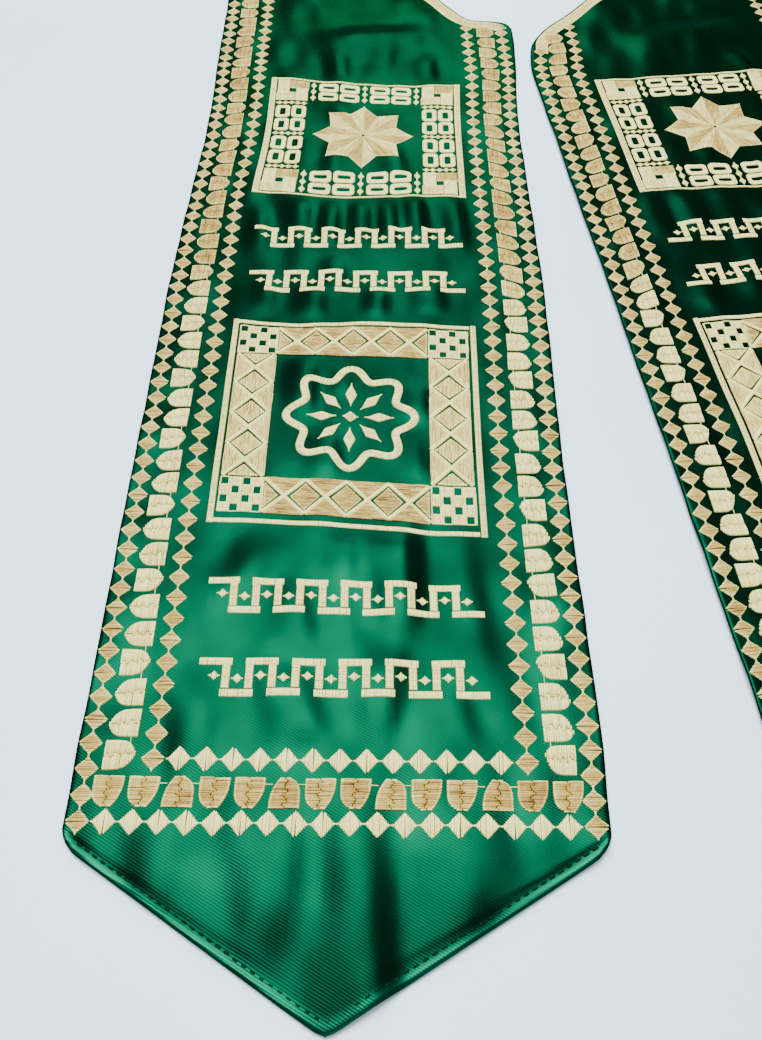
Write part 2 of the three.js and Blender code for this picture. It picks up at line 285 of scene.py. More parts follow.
# Wavelengths across and down, and a factor of the phase
SOFT_WAVES = ((23, 210, 1.0), (17, -95, 2.3), (31, 44, 3.1), (-27, 37, 4.7), (14, 61, 5.9))
WAVE_HEIGHT = 0.085
PHASES = {"left": 1.3, "right": 3.9}
RIPPLE_ZONE = (2.0, 26.0)
RIPPLE_RISE = 0.55
RIPPLE_HEIGHT = 0.28
RIPPLE_STEPS = (6.1, 3.7)
RIPPLE_SLANT = 30
SECOND_RIPPLE = 0.7


def relief(side, plan):
    """Height of the cloth's underside. Each ridge is a cosine bump across, steeper on one flank, which
    fades out towards its two ends, and is lower under the stiff frames. Both halves have the long
    flanks on the same hand. Small soft waves all over, and ripples that grow towards the free edges,
    are added."""
    a, d = plan_to_panel(plan)
    hand = a if side == "left" else PANEL_WIDTH - a
    height = np.zeros(a.shape)
    for fold in folds_of(side):
        c, s = math.cos(math.radians(fold.turn)), math.sin(math.radians(fold.turn))
        across = ((hand - fold.a) * c + (d - fold.d) * s) / fold.width
        across = np.clip(np.where(across > 0, across, -across / STEEP_FLANK), 0, 1)
        along = np.abs((d - fold.d) * c - (hand - fold.a) * s) / fold.half_length
        height += fold.rise * (1 + np.cos(np.pi * across)) / 2 * (1 - smoothstep(FOLD_CORE, 1.0, along))
    near, far = (PANEL_WIDTH - FRAME_WIDTH) / 2, (PANEL_WIDTH + FRAME_WIDTH) / 2
    band = FRAME_BAND
    stiff = np.zeros(a.shape)
    for square in (UPPER_FRAME, LOWER_FRAME):
        low, high = square.top, square.top + square.height
        opening = soft_box(a, d, near + band, far - band, low + band, high - band)
        stiff += soft_box(a, d, near, far, low, high) - opening
    height *= 1 - FRAME_STIFFNESS * stiff
    phase = PHASES[side]
    for length_a, length_d, shift in SOFT_WAVES:
        height += WAVE_HEIGHT * (1 + np.sin(2 * np.pi * (a / length_a + d / length_d) + shift * phase))
    inset = np.minimum(np.abs(a), np.abs(PANEL_WIDTH - a))
    ripple = np.sin(d / RIPPLE_STEPS[0] + phase + a / RIPPLE_SLANT)
    ripple = ripple + SECOND_RIPPLE * np.sin(d / RIPPLE_STEPS[1] + 2 * phase)
    height += (1 - smoothstep(*RIPPLE_ZONE, inset)) * (RIPPLE_RISE + RIPPLE_HEIGHT * ripple)
    return height


def on_cloth(side, plan, lift=0.0):
    """Places on the top of the cloth, wandered and raised by the relief, the cloth and a lift."""
    z = relief(side, plan) + CLOTH_THICKNESS + lift
    return np.concatenate([wandered(side, plan), z[..., None]], axis=-1)


def make_piece(name, side, points, faces, values=None):
    """A mesh from points in a half's millimetres and faces of three or four corners. The left half is
    mirrored in x and its faces turned round, so that they still point outwards."""
    sign = SIDES[side]
    metres = points * MM
    metres[:, 0] *= sign
    metres[:, 1] += CORNER_Y * MM
    if sign < 0:
        faces = faces[:, ::-1]
    corners = faces.shape[1]
    mesh = bpy.data.meshes.new(name)
    mesh.vertices.add(len(metres))
    mesh.vertices.foreach_set("co", metres.astype(np.float32).ravel())
    mesh.loops.add(faces.size)
    mesh.loops.foreach_set("vertex_index", faces.astype(np.int32).ravel())
    mesh.polygons.add(len(faces))
    mesh.polygons.foreach_set("loop_start", np.arange(0, faces.size, corners, dtype=np.int32))
    mesh.update(calc_edges=True)
    mesh.validate()
    mesh.polygons.foreach_set("use_smooth", np.ones(len(mesh.polygons), bool))
    for key, value in (values or {}).items():
        attribute = mesh.attributes.new(key, "FLOAT", "POINT")
        attribute.data.foreach_set("value", value.astype(np.float32))
    piece = bpy.data.objects.new(name, mesh)
    bpy.context.scene.collection.objects.link(piece)
    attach(piece, "root")
    return piece


def distances_along(line):
    """How far along a line each of its points lies: the running sum of its steps."""
    return np.concatenate([[0.0], np.cumsum(np.hypot(*np.diff(line, axis=0).T))])


def at_distances(line, along, where):
    """Places on a line at some distances, where its own points lie at the distances along."""
    return pairs(*(np.interp(where, along, line[:, k]) for k in (0, 1)))


def resampled(line, count):
    """A line's points at equal steps along it."""
    along = distances_along(line)
    return at_distances(line, along, np.linspace(0, along[-1], count))


def on_circle(radius, angle):
    """Places on a circle round the neck's centre."""
    return pairs(radius * np.cos(angle), NECK_CENTRE_Y + radius * np.sin(angle))


# The camera stands where the photograph's did, over the pointed end of the left half
CAMERA_PLACE = Vector((-0.0912, -0.3706, 0.2583))
CAMERA_HEADING = math.radians(-2.4)
CAMERA_PITCH = math.radians(56.07)
PHOTO_HEIGHT = 1040
FOCAL_PIXELS = 922
SENSOR = 36.0


def make_camera():
    """Looks down by the pitch, towards a heading measured from +Y."""
    forward = Vector((
        -math.sin(CAMERA_HEADING) * math.cos(CAMERA_PITCH),
        math.cos(CAMERA_HEADING) * math.cos(CAMERA_PITCH),
        -math.sin(CAMERA_PITCH),
    ))
    right = Vector((math.cos(CAMERA_HEADING), math.sin(CAMERA_HEADING), 0))
    up = right.cross(forward)
    data = bpy.data.cameras.new("camera")
    data.sensor_width = SENSOR
    data.lens = SENSOR * FOCAL_PIXELS / PHOTO_HEIGHT
    camera = bpy.data.objects.new("camera", data)
    turn = Matrix((right, up, -forward)).transposed().to_4x4()
    camera.matrix_world = Matrix.Translation(CAMERA_PLACE) @ turn
    bpy.context.scene.collection.objects.link(camera)
    bpy.context.scene.camera = camera


make_camera()


# The cloth


NECK_POINTS = 900
NECK_ARC_POINTS = 240
MEAN_REACH = 25


def neck_edge(side):
    """From a little below the neck corner up to it and on to the bend, on a tangent to the neck circle
    and round it to the middle of the back. A running mean rounds the corner and the bend. The last
    value is the share of the line up to the side of the neck."""
    corner = NECK_CORNERS[side]
    start = panel_to_plan(0.0, corner.below + CORNER_REACH)
    tip = panel_to_plan(0.0, corner.below)
    bend = panel_to_plan(corner.across, corner.below - corner.up)
    to_bend = bend - np.array([0.0, NECK_CENTRE_Y])
    touch = math.atan2(to_bend[1], to_bend[0]) + math.acos(NECK_RADIUS / np.hypot(*to_bend))
    arc = on_circle(NECK_RADIUS, np.linspace(touch, math.pi / 2, NECK_ARC_POINTS))
    line = resampled(np.concatenate([[start, tip, bend], arc]), NECK_POINTS)
    before = 2 * line[0] - line[MEAN_REACH:0:-1]
    after = 2 * line[-1] - line[-2:-MEAN_REACH - 2:-1]
    padded = np.concatenate([before, line, after])
    kernel = np.ones(2 * MEAN_REACH + 1) / (2 * MEAN_REACH + 1)
    line = pairs(*(np.convolve(padded[:, k], kernel, mode="valid") for k in (0, 1)))
    line[-1, 0] = SEAM_GAP / 2
    angle = np.arctan2(line[:, 1] - NECK_CENTRE_Y, line[:, 0])
    return line, np.argmin(np.abs(angle - LEAN)) / (len(line) - 1)


STRAIGHT_POINTS = 200
OUTER_ARC_POINTS = 300


def outer_edge(side):
    """Straight on from the panel's outer edge, then round the neck's centre to the middle of the
    back."""
    start = panel_to_plan(PANEL_WIDTH, NECK_CORNERS[side].below + CORNER_REACH)
    turn = on_circle(OUTER_RADIUS, LEAN)
    straight = np.linspace(start, turn, STRAIGHT_POINTS)
    arc = on_circle(OUTER_RADIUS, np.linspace(LEAN, math.pi / 2, OUTER_ARC_POINTS))
    arc[-1, 0] = SEAM_GAP / 2
    return straight, arc


def neck_sections(side, count):
    """Pairs of places on the neck edge and the outer edge. The two edges are shared out alike up to the
    side of the neck, and again from there to the middle of the back."""
    inner, side_share = neck_edge(side)
    straight, arc = outer_edge(side)
    shares = np.linspace(0, 1, count)
    inner_places = resampled(inner, count)
    t = np.clip(shares / side_share, 0, 1)[:, None]
    u = np.clip((shares - side_share) / (1 - side_share), 0, 1)
    on_arc = at_distances(arc, np.linspace(0, 1, len(arc)), u)
    on_straight = straight[0] + (straight[-1] - straight[0]) * t
    outer_places = np.where((shares < side_share)[:, None], on_straight, on_arc)
    return inner_places, outer_places


TIP_SOFTNESS = 0.02


def point_end(a):
    """How far down the cloth reaches at a. Two slanted lines meet at the tip, which is slightly
    rounded, and a quarter ellipse rounds each bottom corner."""
    from_middle = np.abs(2 * a / PANEL_WIDTH - 1)
    soft = np.sqrt(from_middle**2 + TIP_SOFTNESS**2) - TIP_SOFTNESS * (1 - from_middle)
    slant = CORNER_DROP + (POINT_DEPTH - CORNER_DROP) * (1 - soft)
    inset = np.clip(np.minimum(a, PANEL_WIDTH - a) / CORNER_ROUNDING, 0, 1)
    rounding = CORNER_ROUNDING * (1 - np.sqrt(1 - (1 - inset) ** 2))
    return PANEL_LENGTH + slant - rounding


FINE_STEPS = np.array([0.12, 0.4, 0.9, 1.7])


def graded(length, step, ends=(True, True)):
    """Distances from 0 to length in even steps, with a few closer ones by the chosen ends."""
    low = FINE_STEPS if ends[0] else np.array([])
    high = length - FINE_STEPS[::-1] if ends[1] else np.array([])
    start = FINE_STEPS[-1] if ends[0] else 0.0
    stop = length - (FINE_STEPS[-1] if ends[1] else 0.0)
    count = max(int(round((stop - start) / step)), 1)
    middle = np.linspace(start, stop, count + 1)[1:-1]
    return np.concatenate([[0.0], low, middle, high, [length]])


GRID_STEP = 2.3
NECK_STEP = 2.6
NECK_SECTIONS = 400
POINT_STEP = 2.2
POINT_ZONE = 12


def cloth_grid(side):
    """Rows from the middle of the back round the neck, down the panel and on to the point, each with
    the same columns. Returns the plan of the grid and each place's distance from the cloth's edge."""
    columns = graded(PANEL_WIDTH, GRID_STEP) / PANEL_WIDTH
    inner, outer = neck_sections(side, NECK_SECTIONS)
    lengths = distances_along(outer)
    places = graded(lengths[-1], NECK_STEP, (False, True))[1:]
    inner = at_distances(inner, lengths, places)[::-1]
    outer = at_distances(outer, lengths, places)[::-1]
    neck = inner[:, None] + (outer - inner)[:, None] * columns[None, :, None]
    across = np.hypot(*(outer - inner).T)[:, None] * columns
    to_sides = np.minimum(across, across[:, -1:] - across)
    neck_distance = np.minimum(to_sides, neck[..., 0] - SEAM_GAP / 2)
    a = columns * PANEL_WIDTH
    below = NECK_CORNERS[side].below + CORNER_REACH
    straight_end = PANEL_LENGTH - POINT_ZONE
    d_rows = below + graded(straight_end - below, GRID_STEP, (False, False))
    panel = panel_to_plan(a[None, :], d_rows[:, None])
    side_distance = np.minimum(a, PANEL_WIDTH - a)
    panel_distance = np.broadcast_to(side_distance, panel.shape[:2])
    shares = graded(POINT_DEPTH, POINT_STEP, (False, True))[1:] / POINT_DEPTH
    reach = point_end(a) - straight_end
    d_point = straight_end + shares[:, None] * reach
    point = panel_to_plan(np.broadcast_to(a, d_point.shape), d_point)
    slant = math.cos(math.atan2(POINT_DEPTH - CORNER_DROP, PANEL_WIDTH / 2))
    hem_distance = (straight_end + reach - d_point) * slant
    point_distance = np.minimum(side_distance, hem_distance)
    plan = np.concatenate([neck, panel, point])
    return plan, np.concatenate([neck_distance, panel_distance, point_distance])


HEM_LINE = 2.8
GROOVE_DEPTH = 0.3
GROOVE_WIDTH = 0.8
# A painted highlight along the rolled rim at the point: the distances from the edge, as shares of the
# hem line, over which it fades, and the distances past the panel's length over which it comes in
RIM_HIGHLIGHT_FADE = (0.5, 0.9)
RIM_HIGHLIGHT_START = (-6, 4)


def two_skins(rows, columns):
    """Faces of two skins over one grid, which share its border, and a mask of the places inside the
    border."""
    index = np.arange(rows * columns).reshape(rows, columns)
    inside = np.zeros(index.shape, bool)
    inside[1:-1, 1:-1] = True
    under = index.copy()
    under[inside] = rows * columns + np.arange(inside.sum())
    quads = []
    for grid, order in ((index, (0, 1, 2, 3)), (under, (3, 2, 1, 0))):
        corners = (grid[:-1, :-1], grid[1:, :-1], grid[1:, 1:], grid[:-1, 1:])
        quads.append(np.stack([corners[k] for k in order], axis=-1).reshape(-1, 4))
    return np.concatenate(quads), inside


def cloth_piece(side):
    """The cloth of one half, with its area and its flat size. The distance of its two skins from the
    middle of the cloth is half its thickness, times a quarter circle near the edge. A shallow groove
    follows the hem's stitches."""
    plan, distance = cloth_grid(side)
    faces, inside = two_skins(*plan.shape[:2])
    profile = np.sqrt(1 - (1 - np.clip(distance / EDGE_ROUNDING, 0, 1)) ** 2)
    middle = relief(side, plan) + CLOTH_THICKNESS / 2
    groove = GROOVE_DEPTH * np.exp(-(((distance - HEM_LINE) / GROOVE_WIDTH) ** 2))
    top = middle + profile * CLOTH_THICKNESS / 2 - groove
    bottom = middle - profile * CLOTH_THICKNESS / 2
    placed = wandered(side, plan)
    top_points = np.concatenate([placed, top[..., None]], axis=-1).reshape(-1, 3)
    bottom_points = np.concatenate([placed, bottom[..., None]], axis=-1)[inside]
    points = np.concatenate([top_points, bottom_points])
    # A painted highlight along the rolled rim at the point.
    rim_highlight = 1 - smoothstep(RIM_HIGHLIGHT_FADE[0] * HEM_LINE, RIM_HIGHLIGHT_FADE[1] * HEM_LINE, distance)
    down = plan_to_panel(plan)[1] - PANEL_LENGTH
    rim_highlight = rim_highlight * smoothstep(*RIM_HIGHLIGHT_START, down)
    rim_highlights = np.concatenate([rim_highlight.ravel(), rim_highlight[inside]])
    piece = make_piece(f"{side}_satin", side, points, faces, {"rim_highlight": rim_highlights})
    u = plan[1:, 1:] - plan[:-1, :-1]
    v = plan[1:, :-1] - plan[:-1, 1:]
    area = np.abs(u[..., 0] * v[..., 1] - u[..., 1] * v[..., 0]).sum() / 2
    size = plan.reshape(-1, 2).max(0) - plan.reshape(-1, 2).min(0)
    return piece, area, size


# Threads


# Each lies from a start to an end in the plan. It has a tone, from 0 for tan, the thread's own colour,
# to 1 for cream, a painted sheen, a lift above the cloth where it lies over other threads, and a size,
# which is less than 1 for a thin one. Its joint is 0 where both ends are free, 1 where its end dips in
# beside another thread and 2 where both do.
Threads = namedtuple("Threads", "start end tone lift size joint")
THREAD_SEED = 41
rng = np.random.default_rng(THREAD_SEED)


def threads(start, end, tone=0.5, lift=0.0, size=1.0, joint=0.0):
    """Rows of starts and ends, with one tone for all, or one for each."""
    start = np.asarray(start, float).reshape(-1, 2)
    end = np.asarray(end, float).reshape(-1, 2)
    count = len(start)
    tones = np.broadcast_to(np.asarray(tone, float), (count,)).copy()
    lift, size, joint = (np.full(count, float(value)) for value in (lift, size, joint))
    return Threads(start, end, tones, lift, size, joint)


def joined(groups):
    """Several sets of threads as one."""
    return Threads(*(np.concatenate([getattr(g, field) for g in groups]) for field in Threads._fields))


def chosen_from(group, mask):
    """The threads of a set that a mask picks."""
    return Threads(*(field[mask] for field in group))


def repeated(motif, centres, angles, flips=1.0, tones=0.0):
    """Copies of a motif, each turned by its angle, mirrored in its second axis where flips says -1, and
    moved to its centre."""
    centres = np.asarray(centres, float).reshape(-1, 2)
    count = len(centres)
    angles = np.broadcast_to(np.asarray(angles, float), count)
    flips = np.broadcast_to(np.asarray(flips, float), count)
    tones = np.broadcast_to(np.asarray(tones, float), count)
    c, s = np.cos(angles)[:, None], np.sin(angles)[:, None]

    def place(local):
        """All the copies of some of the motif's places."""
        x = local[None, :, 0]
        y = local[None, :, 1] * flips[:, None]
        placed = pairs(centres[:, :1] + x * c - y * s, centres[:, 1:] + x * s + y * c)
        return placed.reshape(-1, 2)

    tone = (motif.tone[None, :] + tones[:, None]).ravel()
    lift, size, joint = (np.tile(field, count) for field in (motif.lift, motif.size, motif.joint))
    return Threads(place(motif.start), place(motif.end), tone, lift, size, joint)


STITCH_OVERLAP = 0.5


def split(group, longest, waver=0.3):
    """Cuts each thread that is longer than a stitch can be into equal stitches. Their joints are moved
    a little at random along it, and the stitches overlap there, so that no cloth shows between them."""
    step = group.end - group.start
    length = np.hypot(*step.T)
    counts = np.maximum(np.ceil(length / longest).astype(int), 1)
    parts = []
    for count in np.unique(counts):
        chosen = counts == count
        part = chosen_from(group, chosen)
        cuts = np.linspace(0, 1, count + 1)[None, :] + np.zeros((chosen.sum(), 1))
        if count > 1:
            cuts[:, 1:-1] += rng.uniform(-waver, waver, (chosen.sum(), count - 1)) / count
        over = STITCH_OVERLAP / length[chosen]
        for k in range(count):
            low = cuts[:, k] - over * (k > 0)
            high = cuts[:, k + 1] + over * (k < count - 1)
            start = part.start + step[chosen] * low[:, None]
            end = part.start + step[chosen] * high[:, None]
            joint = part.joint if count == 1 else np.full(len(low), 2.0 if 0 < k < count - 1 else 1.0)
            if k and k == count - 1:
                start, end = end, start
            parts.append(part._replace(start=start, end=end, joint=joint))
    return joined(parts)


SECTION_ACROSS = np.array([-0.5, -0.27, 0.27, 0.5])
SECTION_UP = np.array([0.0, 1.0, 1.0, 0.0])
SUNK = 0.12
SHOULDER = 0.45
LONGEST_SHOULDER = 0.3
TIP_HEIGHT = 0.5
LONG_THREAD = 4.4
# Painted shade: the fall in tone at an end that dips in at a joint, and at the foot of each arch,
# between threads
JOINT_SHADE = 0.8
FOOT_SHADE = 0.7
HIDDEN_END = 10.0
END_CROWN = 0.8
SIDEWAYS = 0.045
WIDTH_RANGE = (-0.1, 0.14)
HEIGHT_RANGE = (-0.1, 0.1)
JOINT_RANGE = (0.1, 1.5)
TONE_SPREAD = 0.14


def strand_faces(ring_count):
    """Triangles of one strand: a fan at each end, and two between two rings for each of the four
    corners."""
    first = 1 + 4 * np.arange(ring_count)
    faces = []
    for k in range(4):
        n = (k + 1) % 4
        faces.append([0, first[0] + n, first[0] + k])
        faces.append([1 + 4 * ring_count, first[-1] + k, first[-1] + n])
        for r in range(ring_count - 1):
            faces.append([first[r] + k, first[r] + n, first[r + 1] + n])
            faces.append([first[r] + k, first[r + 1] + n, first[r + 1] + k])
    return np.array(faces)


def strand_values(group, length, stations):
    """Values at the points of each strand. The tone falls towards a joint and the foot, a painted shade
    in the dip and between threads. Two more are the distances from both ends, in millimetres, which
    place the painted highlight at the free ends, with a large one added for an end that dips in at a
    joint."""
    count, ring_count = stations.shape
    joints = np.zeros((count, 2 + 4 * ring_count))
    joints[:, 0] = (group.joint > 1) * rng.uniform(*JOINT_RANGE, count)
    joints[:, -1] = (group.joint > 0) * rng.uniform(*JOINT_RANGE, count)
    foot = np.concatenate([[0], np.tile(1 - SECTION_UP, ring_count), [0]])
    tone = group.tone[:, None] + rng.normal(0, TONE_SPREAD, (count, 1))
    tone = tone - JOINT_SHADE * joints - FOOT_SHADE * foot
    start, end = np.zeros((count, 1)), np.ones((count, 1))
    shares = np.concatenate([start, stations.repeat(4, axis=1), end], axis=1)
    from_start = shares * length[:, None] + HIDDEN_END * (group.joint > 1)[:, None]
    from_end = (1 - shares) * length[:, None] + HIDDEN_END * (group.joint > 0)[:, None]
    return {"tone": tone.ravel(), "from_start": from_start.ravel(), "from_end": from_end.ravel()}


def thread_batch(side, group, middles, width, height):
    """A closed strand for each thread: a point at each end and rings of four corners between them, one
    a shoulder's length from each end and one at each share in middles. A ring is a flat-topped arch,
    whose foot is sunk a little into the cloth."""
    count = len(group.start)
    step = group.end - group.start
    length = np.hypot(*step.T)
    along = step / length[:, None]
    across = pairs(-along[:, 1], along[:, 0])
    shoulder = np.minimum(SHOULDER / length, LONGEST_SHOULDER)
    between = [np.full(count, share) for share in middles]
    stations = np.stack([shoulder, *between, 1 - shoulder], axis=1)
    ring_count = stations.shape[1]
    places = group.start[:, None] + step[:, None] * stations[..., None]
    places = places + across[:, None] * rng.normal(0, SIDEWAYS, (count, 1, 1))
    lift = group.lift - SUNK
    base = on_cloth(side, places, lift[:, None])
    widths = width * group.size * (1 + rng.uniform(*WIDTH_RANGE, count))
    rings = base[:, :, None, :].repeat(4, axis=2)
    rings[..., :2] += across[:, None, None, :] * (SECTION_ACROSS[:, None] * widths[:, None, None, None])
    crown = np.ones(ring_count)
    crown[[0, -1]] = END_CROWN
    heights = (height * group.size + SUNK) * (1 + rng.uniform(*HEIGHT_RANGE, count))
    rings[..., 2] += heights[:, None, None] * crown[:, None] * SECTION_UP
    ends = np.stack([group.start, group.end], axis=1)
    tips = on_cloth(side, ends, lift[:, None] + SUNK * TIP_HEIGHT)
    points = np.concatenate([tips[:, :1], rings.reshape(count, -1, 3), tips[:, 1:]], axis=1)
    offsets = points.shape[1] * np.arange(count)
    faces = strand_faces(ring_count)[None] + offsets[:, None, None]
    return points.reshape(-1, 3), faces.reshape(-1, 3), strand_values(group, length, stations)


THREAD_PITCH = 0.5
THREAD_WIDTH = 0.64
THREAD_HEIGHT = 0.42
SHORTEST_THREAD = 0.3


def stitched_piece(name, side, group, width=THREAD_WIDTH, height=THREAD_HEIGHT):
    """All the threads of one piece. A long one has one more ring in its middle, so that it follows
    folds."""
    length = np.hypot(*(group.end - group.start).T)
    short = (length > SHORTEST_THREAD) & (length <= LONG_THREAD)
    batches = []
    for mask, middles in ((short, ()), (length > LONG_THREAD, (0.5,))):
        if mask.any():
            batches.append(thread_batch(side, chosen_from(group, mask), middles, width, height))
    offsets = np.cumsum([0] + [len(batch[0]) for batch in batches[:-1]])
    points = np.concatenate([batch[0] for batch in batches])
    faces = np.concatenate([batch[1] + offset for batch, offset in zip(batches, offsets)])
    values = {key: np.concatenate([batch[2][key] for batch in batches]) for key in batches[0][2]}
    piece = make_piece(name, side, points, faces, values)
    return piece


# Motifs, round their own centre, the first axis along the row and the second towards the cloth's edge

DIAMOND_PITCH = 7.3
FIELD_PITCH = 7.5
DIAMOND_ALONG = 7.0
DIAMOND_ACROSS = 7.1
BOTTOM_ACROSS = 7.6
DIAMOND_BULGE = 1.08
NECK_REACH = 0.3
PARTING = 0.3
PARTING_FADE = 0.5
DIAMOND_START = 0.12
NECK_LENGTH = 0.5
TAB_PITCH = 9.7
JOINT_OVERLAP = 0.18
TAB_ALONG = 9.0
TAB_ACROSS = 8.4
# Tones of the diamonds: tan on the side runs, the thread's colour, and cream on the run above the point,
# a painted sheen of threads that run up the sash
SIDE_TONE = 0.1
BOTTOM_SHEEN_TONE = 0.95
TAB_TONE = 0.05
TAB_HEIGHT = 0.7


def diamond(along=DIAMOND_ALONG, across=DIAMOND_ACROSS, tone=0.0, slit=0):
    """Threads straight across a lozenge, whose sides bulge slightly. Where slit is -1 or 1, the two in
    the middle part towards that end. A narrow neck of short threads joins it to the next."""
    half = along / 2
    places = np.arange(-half + DIAMOND_START, half, THREAD_PITCH)
    reach = np.maximum(across / 2 * (1 - (np.abs(places) / half) ** DIAMOND_BULGE), NECK_REACH)
    parting = PARTING * np.sign(places) * np.exp(-np.abs(places) / PARTING_FADE)
    start = pairs(places + parting * (slit < 0), -reach)
    end = pairs(places + parting * (slit > 0), reach)
    neck = np.arange(half, half + NECK_LENGTH, THREAD_PITCH)
    reach = np.full(len(neck), NECK_REACH)
    neck_start, neck_end = pairs(neck, -reach), pairs(neck, reach)
    return threads(np.concatenate([start, neck_start]), np.concatenate([end, neck_end]), tone)


TabShape = namedtuple("TabShape", "high_loss high_power low_loss low_power slant")
NEAR_TAB = TabShape(0.6, 6.0, 0.26, 9.0, 0.0)
OUTER_TAB = TabShape(0.44, 5.0, 0.36, 6.0, 0.04)
FAR_TAB = TabShape(0.36, 6.0, 0.36, 6.0, 0.18)
SLANTED_TAB = TabShape(0.36, 6.0, 0.34, 6.0, 0.42)
BOTTOM_TAB = TabShape(0.3, 6.0, 0.3, 2.6, 0.0)
TAB_SHAPES = (
    ((230, FAR_TAB), (-100, OUTER_TAB)),
    ((-100, BOTTOM_TAB),),
    ((315, FAR_TAB), (195, SLANTED_TAB), (-100, NEAR_TAB)),
)


TAB_THREAD_PITCH = THREAD_PITCH * 0.96
TAB_START = 0.2
PARTING_WAVE = 0.06
PARTING_TURN = 2.4
PARTING_SPREAD = 0.03
# Threads within the outer share of either side of a tab are paler: a painted highlight along its edges
OUTER_SHARE = 0.05
OUTER_HIGHLIGHT_TONE = 0.4


def tab(shape):
    """Threads along the row, stacked from the flat side to the round end. Each side draws in by a power
    of the share of the way to the round end, and the whole slants back. Each thread is parted in two
    near its middle, by a wave and a little at random."""
    levels = np.arange(-TAB_ACROSS / 2 + TAB_START, TAB_ACROSS / 2, TAB_THREAD_PITCH)
    share = (levels + TAB_ACROSS / 2) / TAB_ACROSS
    high = TAB_ALONG * (0.5 - shape.high_loss * share**shape.high_power) - shape.slant * levels
    low = -TAB_ALONG * (0.5 - shape.low_loss * share**shape.low_power) - shape.slant * levels
    wave = PARTING_WAVE * np.sin(levels * PARTING_TURN)
    wave = wave + rng.normal(0, PARTING_SPREAD, len(levels))
    middle = (high + low) / 2 + (high - low) * wave
    tones = np.where((share < OUTER_SHARE) | (share > 1 - OUTER_SHARE), OUTER_HIGHLIGHT_TONE, 0.0)
    lows = threads(pairs(low, levels), pairs(middle + JOINT_OVERLAP, levels), tones, joint=1.0)
    highs = threads(pairs(high, levels), pairs(middle - JOINT_OVERLAP, levels), tones, joint=1.0)
    return joined([lows, highs])


JUMP_LEVEL = 1.7
JUMP_REACH = (1.2, 3.2)
JUMP_TONE = 0.8
JUMP_SIZE = 0.42


def jump_thread():
    """The thread that runs on between two tabs that face opposite ways, by the field."""
    level = -TAB_ACROSS / 2 + JUMP_LEVEL
    start = TAB_ALONG / 2 - JUMP_REACH[0]
    end = TAB_PITCH - TAB_ALONG / 2 + JUMP_REACH[1]
    return threads([[start, level]], [[end, level]], JUMP_TONE, size=JUMP_SIZE)


# Rows that follow the edge of the cloth


def run_places(length, pitch, first, last):
    """Places along a run from first to length - last, with the pitch fitted to a whole number of
    steps."""
    span = length - first - last
    steps = int(round(span / pitch))
    return first + np.arange(steps + 1) * span / steps


def outer_run(inset, along):
    """Places at distances up from the bottom corner of a row: up the outer side, then round the neck.
    Returns them with their headings and the length of the whole run."""
    top = plan_to_panel(on_circle(OUTER_RADIUS - inset, LEAN)[None])[1][0]
    straight = PANEL_LENGTH - inset - top
    on_side = panel_to_plan(np.full(along.shape, PANEL_WIDTH - inset), PANEL_LENGTH - inset - along)
    turn = LEAN + np.clip(along - straight, 0, None) / (OUTER_RADIUS - inset)
    on_round = on_circle(OUTER_RADIUS - inset, turn)
    places = np.where((along < straight)[:, None], on_side, on_round)
    heading = np.where(along < straight, math.pi / 2 + LEAN, math.pi / 2 + turn)
    return places, heading, straight + (math.pi / 2 - LEAN) * (OUTER_RADIUS - inset)


TOP_SEARCH = (80.0, -40.0, -0.5)
INWARD_MARGIN = 1.5
EDGE_SKIP = 4


def row_top(side, inset, clearance):
    """How far up the front row can go before it meets the neck trim: the lowest place that is nearer
    than the clearance to the neck edge beyond its corner."""
    d = np.arange(*TOP_SEARCH)
    edge = neck_edge(side)[0]
    edge = edge[plan_to_panel(edge)[0] > inset - INWARD_MARGIN]
    places = panel_to_plan(np.full(d.shape, inset), d)
    steps = places[:, None] - edge[None, ::EDGE_SKIP]
    nearest = np.hypot(*steps.transpose(2, 0, 1)).min(axis=1)
    return d[np.argmax(nearest < clearance)]


# How far a row ends from the middle of the back, as a share of its pitch
BACK_SHARE = 0.6


def row_runs(side, inset, pitch, corner_gap, bottom_gap, clearance):
    """Centres and headings of a row's motifs: up the outer side and round the neck, across above the
    point, and up the front edge to the trim. The motifs' second axis points outwards on all three."""
    length = outer_run(inset, np.zeros(1))[2]
    along = run_places(length, pitch, corner_gap, BACK_SHARE * pitch)
    places, heading, _ = outer_run(inset, along)
    width = PANEL_WIDTH - 2 * inset
    across = run_places(width, pitch, bottom_gap, bottom_gap)
    bottom = panel_to_plan(inset + across, np.full(across.shape, PANEL_LENGTH - inset))
    height = PANEL_LENGTH - inset - row_top(side, inset, clearance)
    up = run_places(height, pitch, corner_gap, 0.0)
    d = PANEL_LENGTH - inset - up
    front = panel_to_plan(inset + TOP_SHIFT * (1 - smoothstep(*TOP_ZONE, d)), d)
    return (
        (places, heading, -1.0, along),
        (bottom, np.full(len(across), LEAN), -1.0, across),
        (front, np.full(len(up), math.pi / 2 + LEAN), 1.0, up),
    )


DIAMOND_CLEARANCE = TRIM_INSET + TRIM_WIDTH + 0.9
TAB_CLEARANCE = TRIM_INSET + TRIM_WIDTH + 2.6
TAB_CORNER_GAP = 10.3
TAB_BOTTOM_GAP = -1.6
# The run across above the point, as row_runs counts them from 0
BOTTOM_RUN = 1
TAB_CYCLE = 3
FIRST_TURNED = (0, 2, 0)
# Cream on the lower part of each side's tabs is a painted sheen, which fades out between these distances
# up the run
CREAM_SHEEN_ZONE = (230, 180)
CREAM_SHEEN_TONE = 0.75
TAB_TONE_SPREAD = 0.06


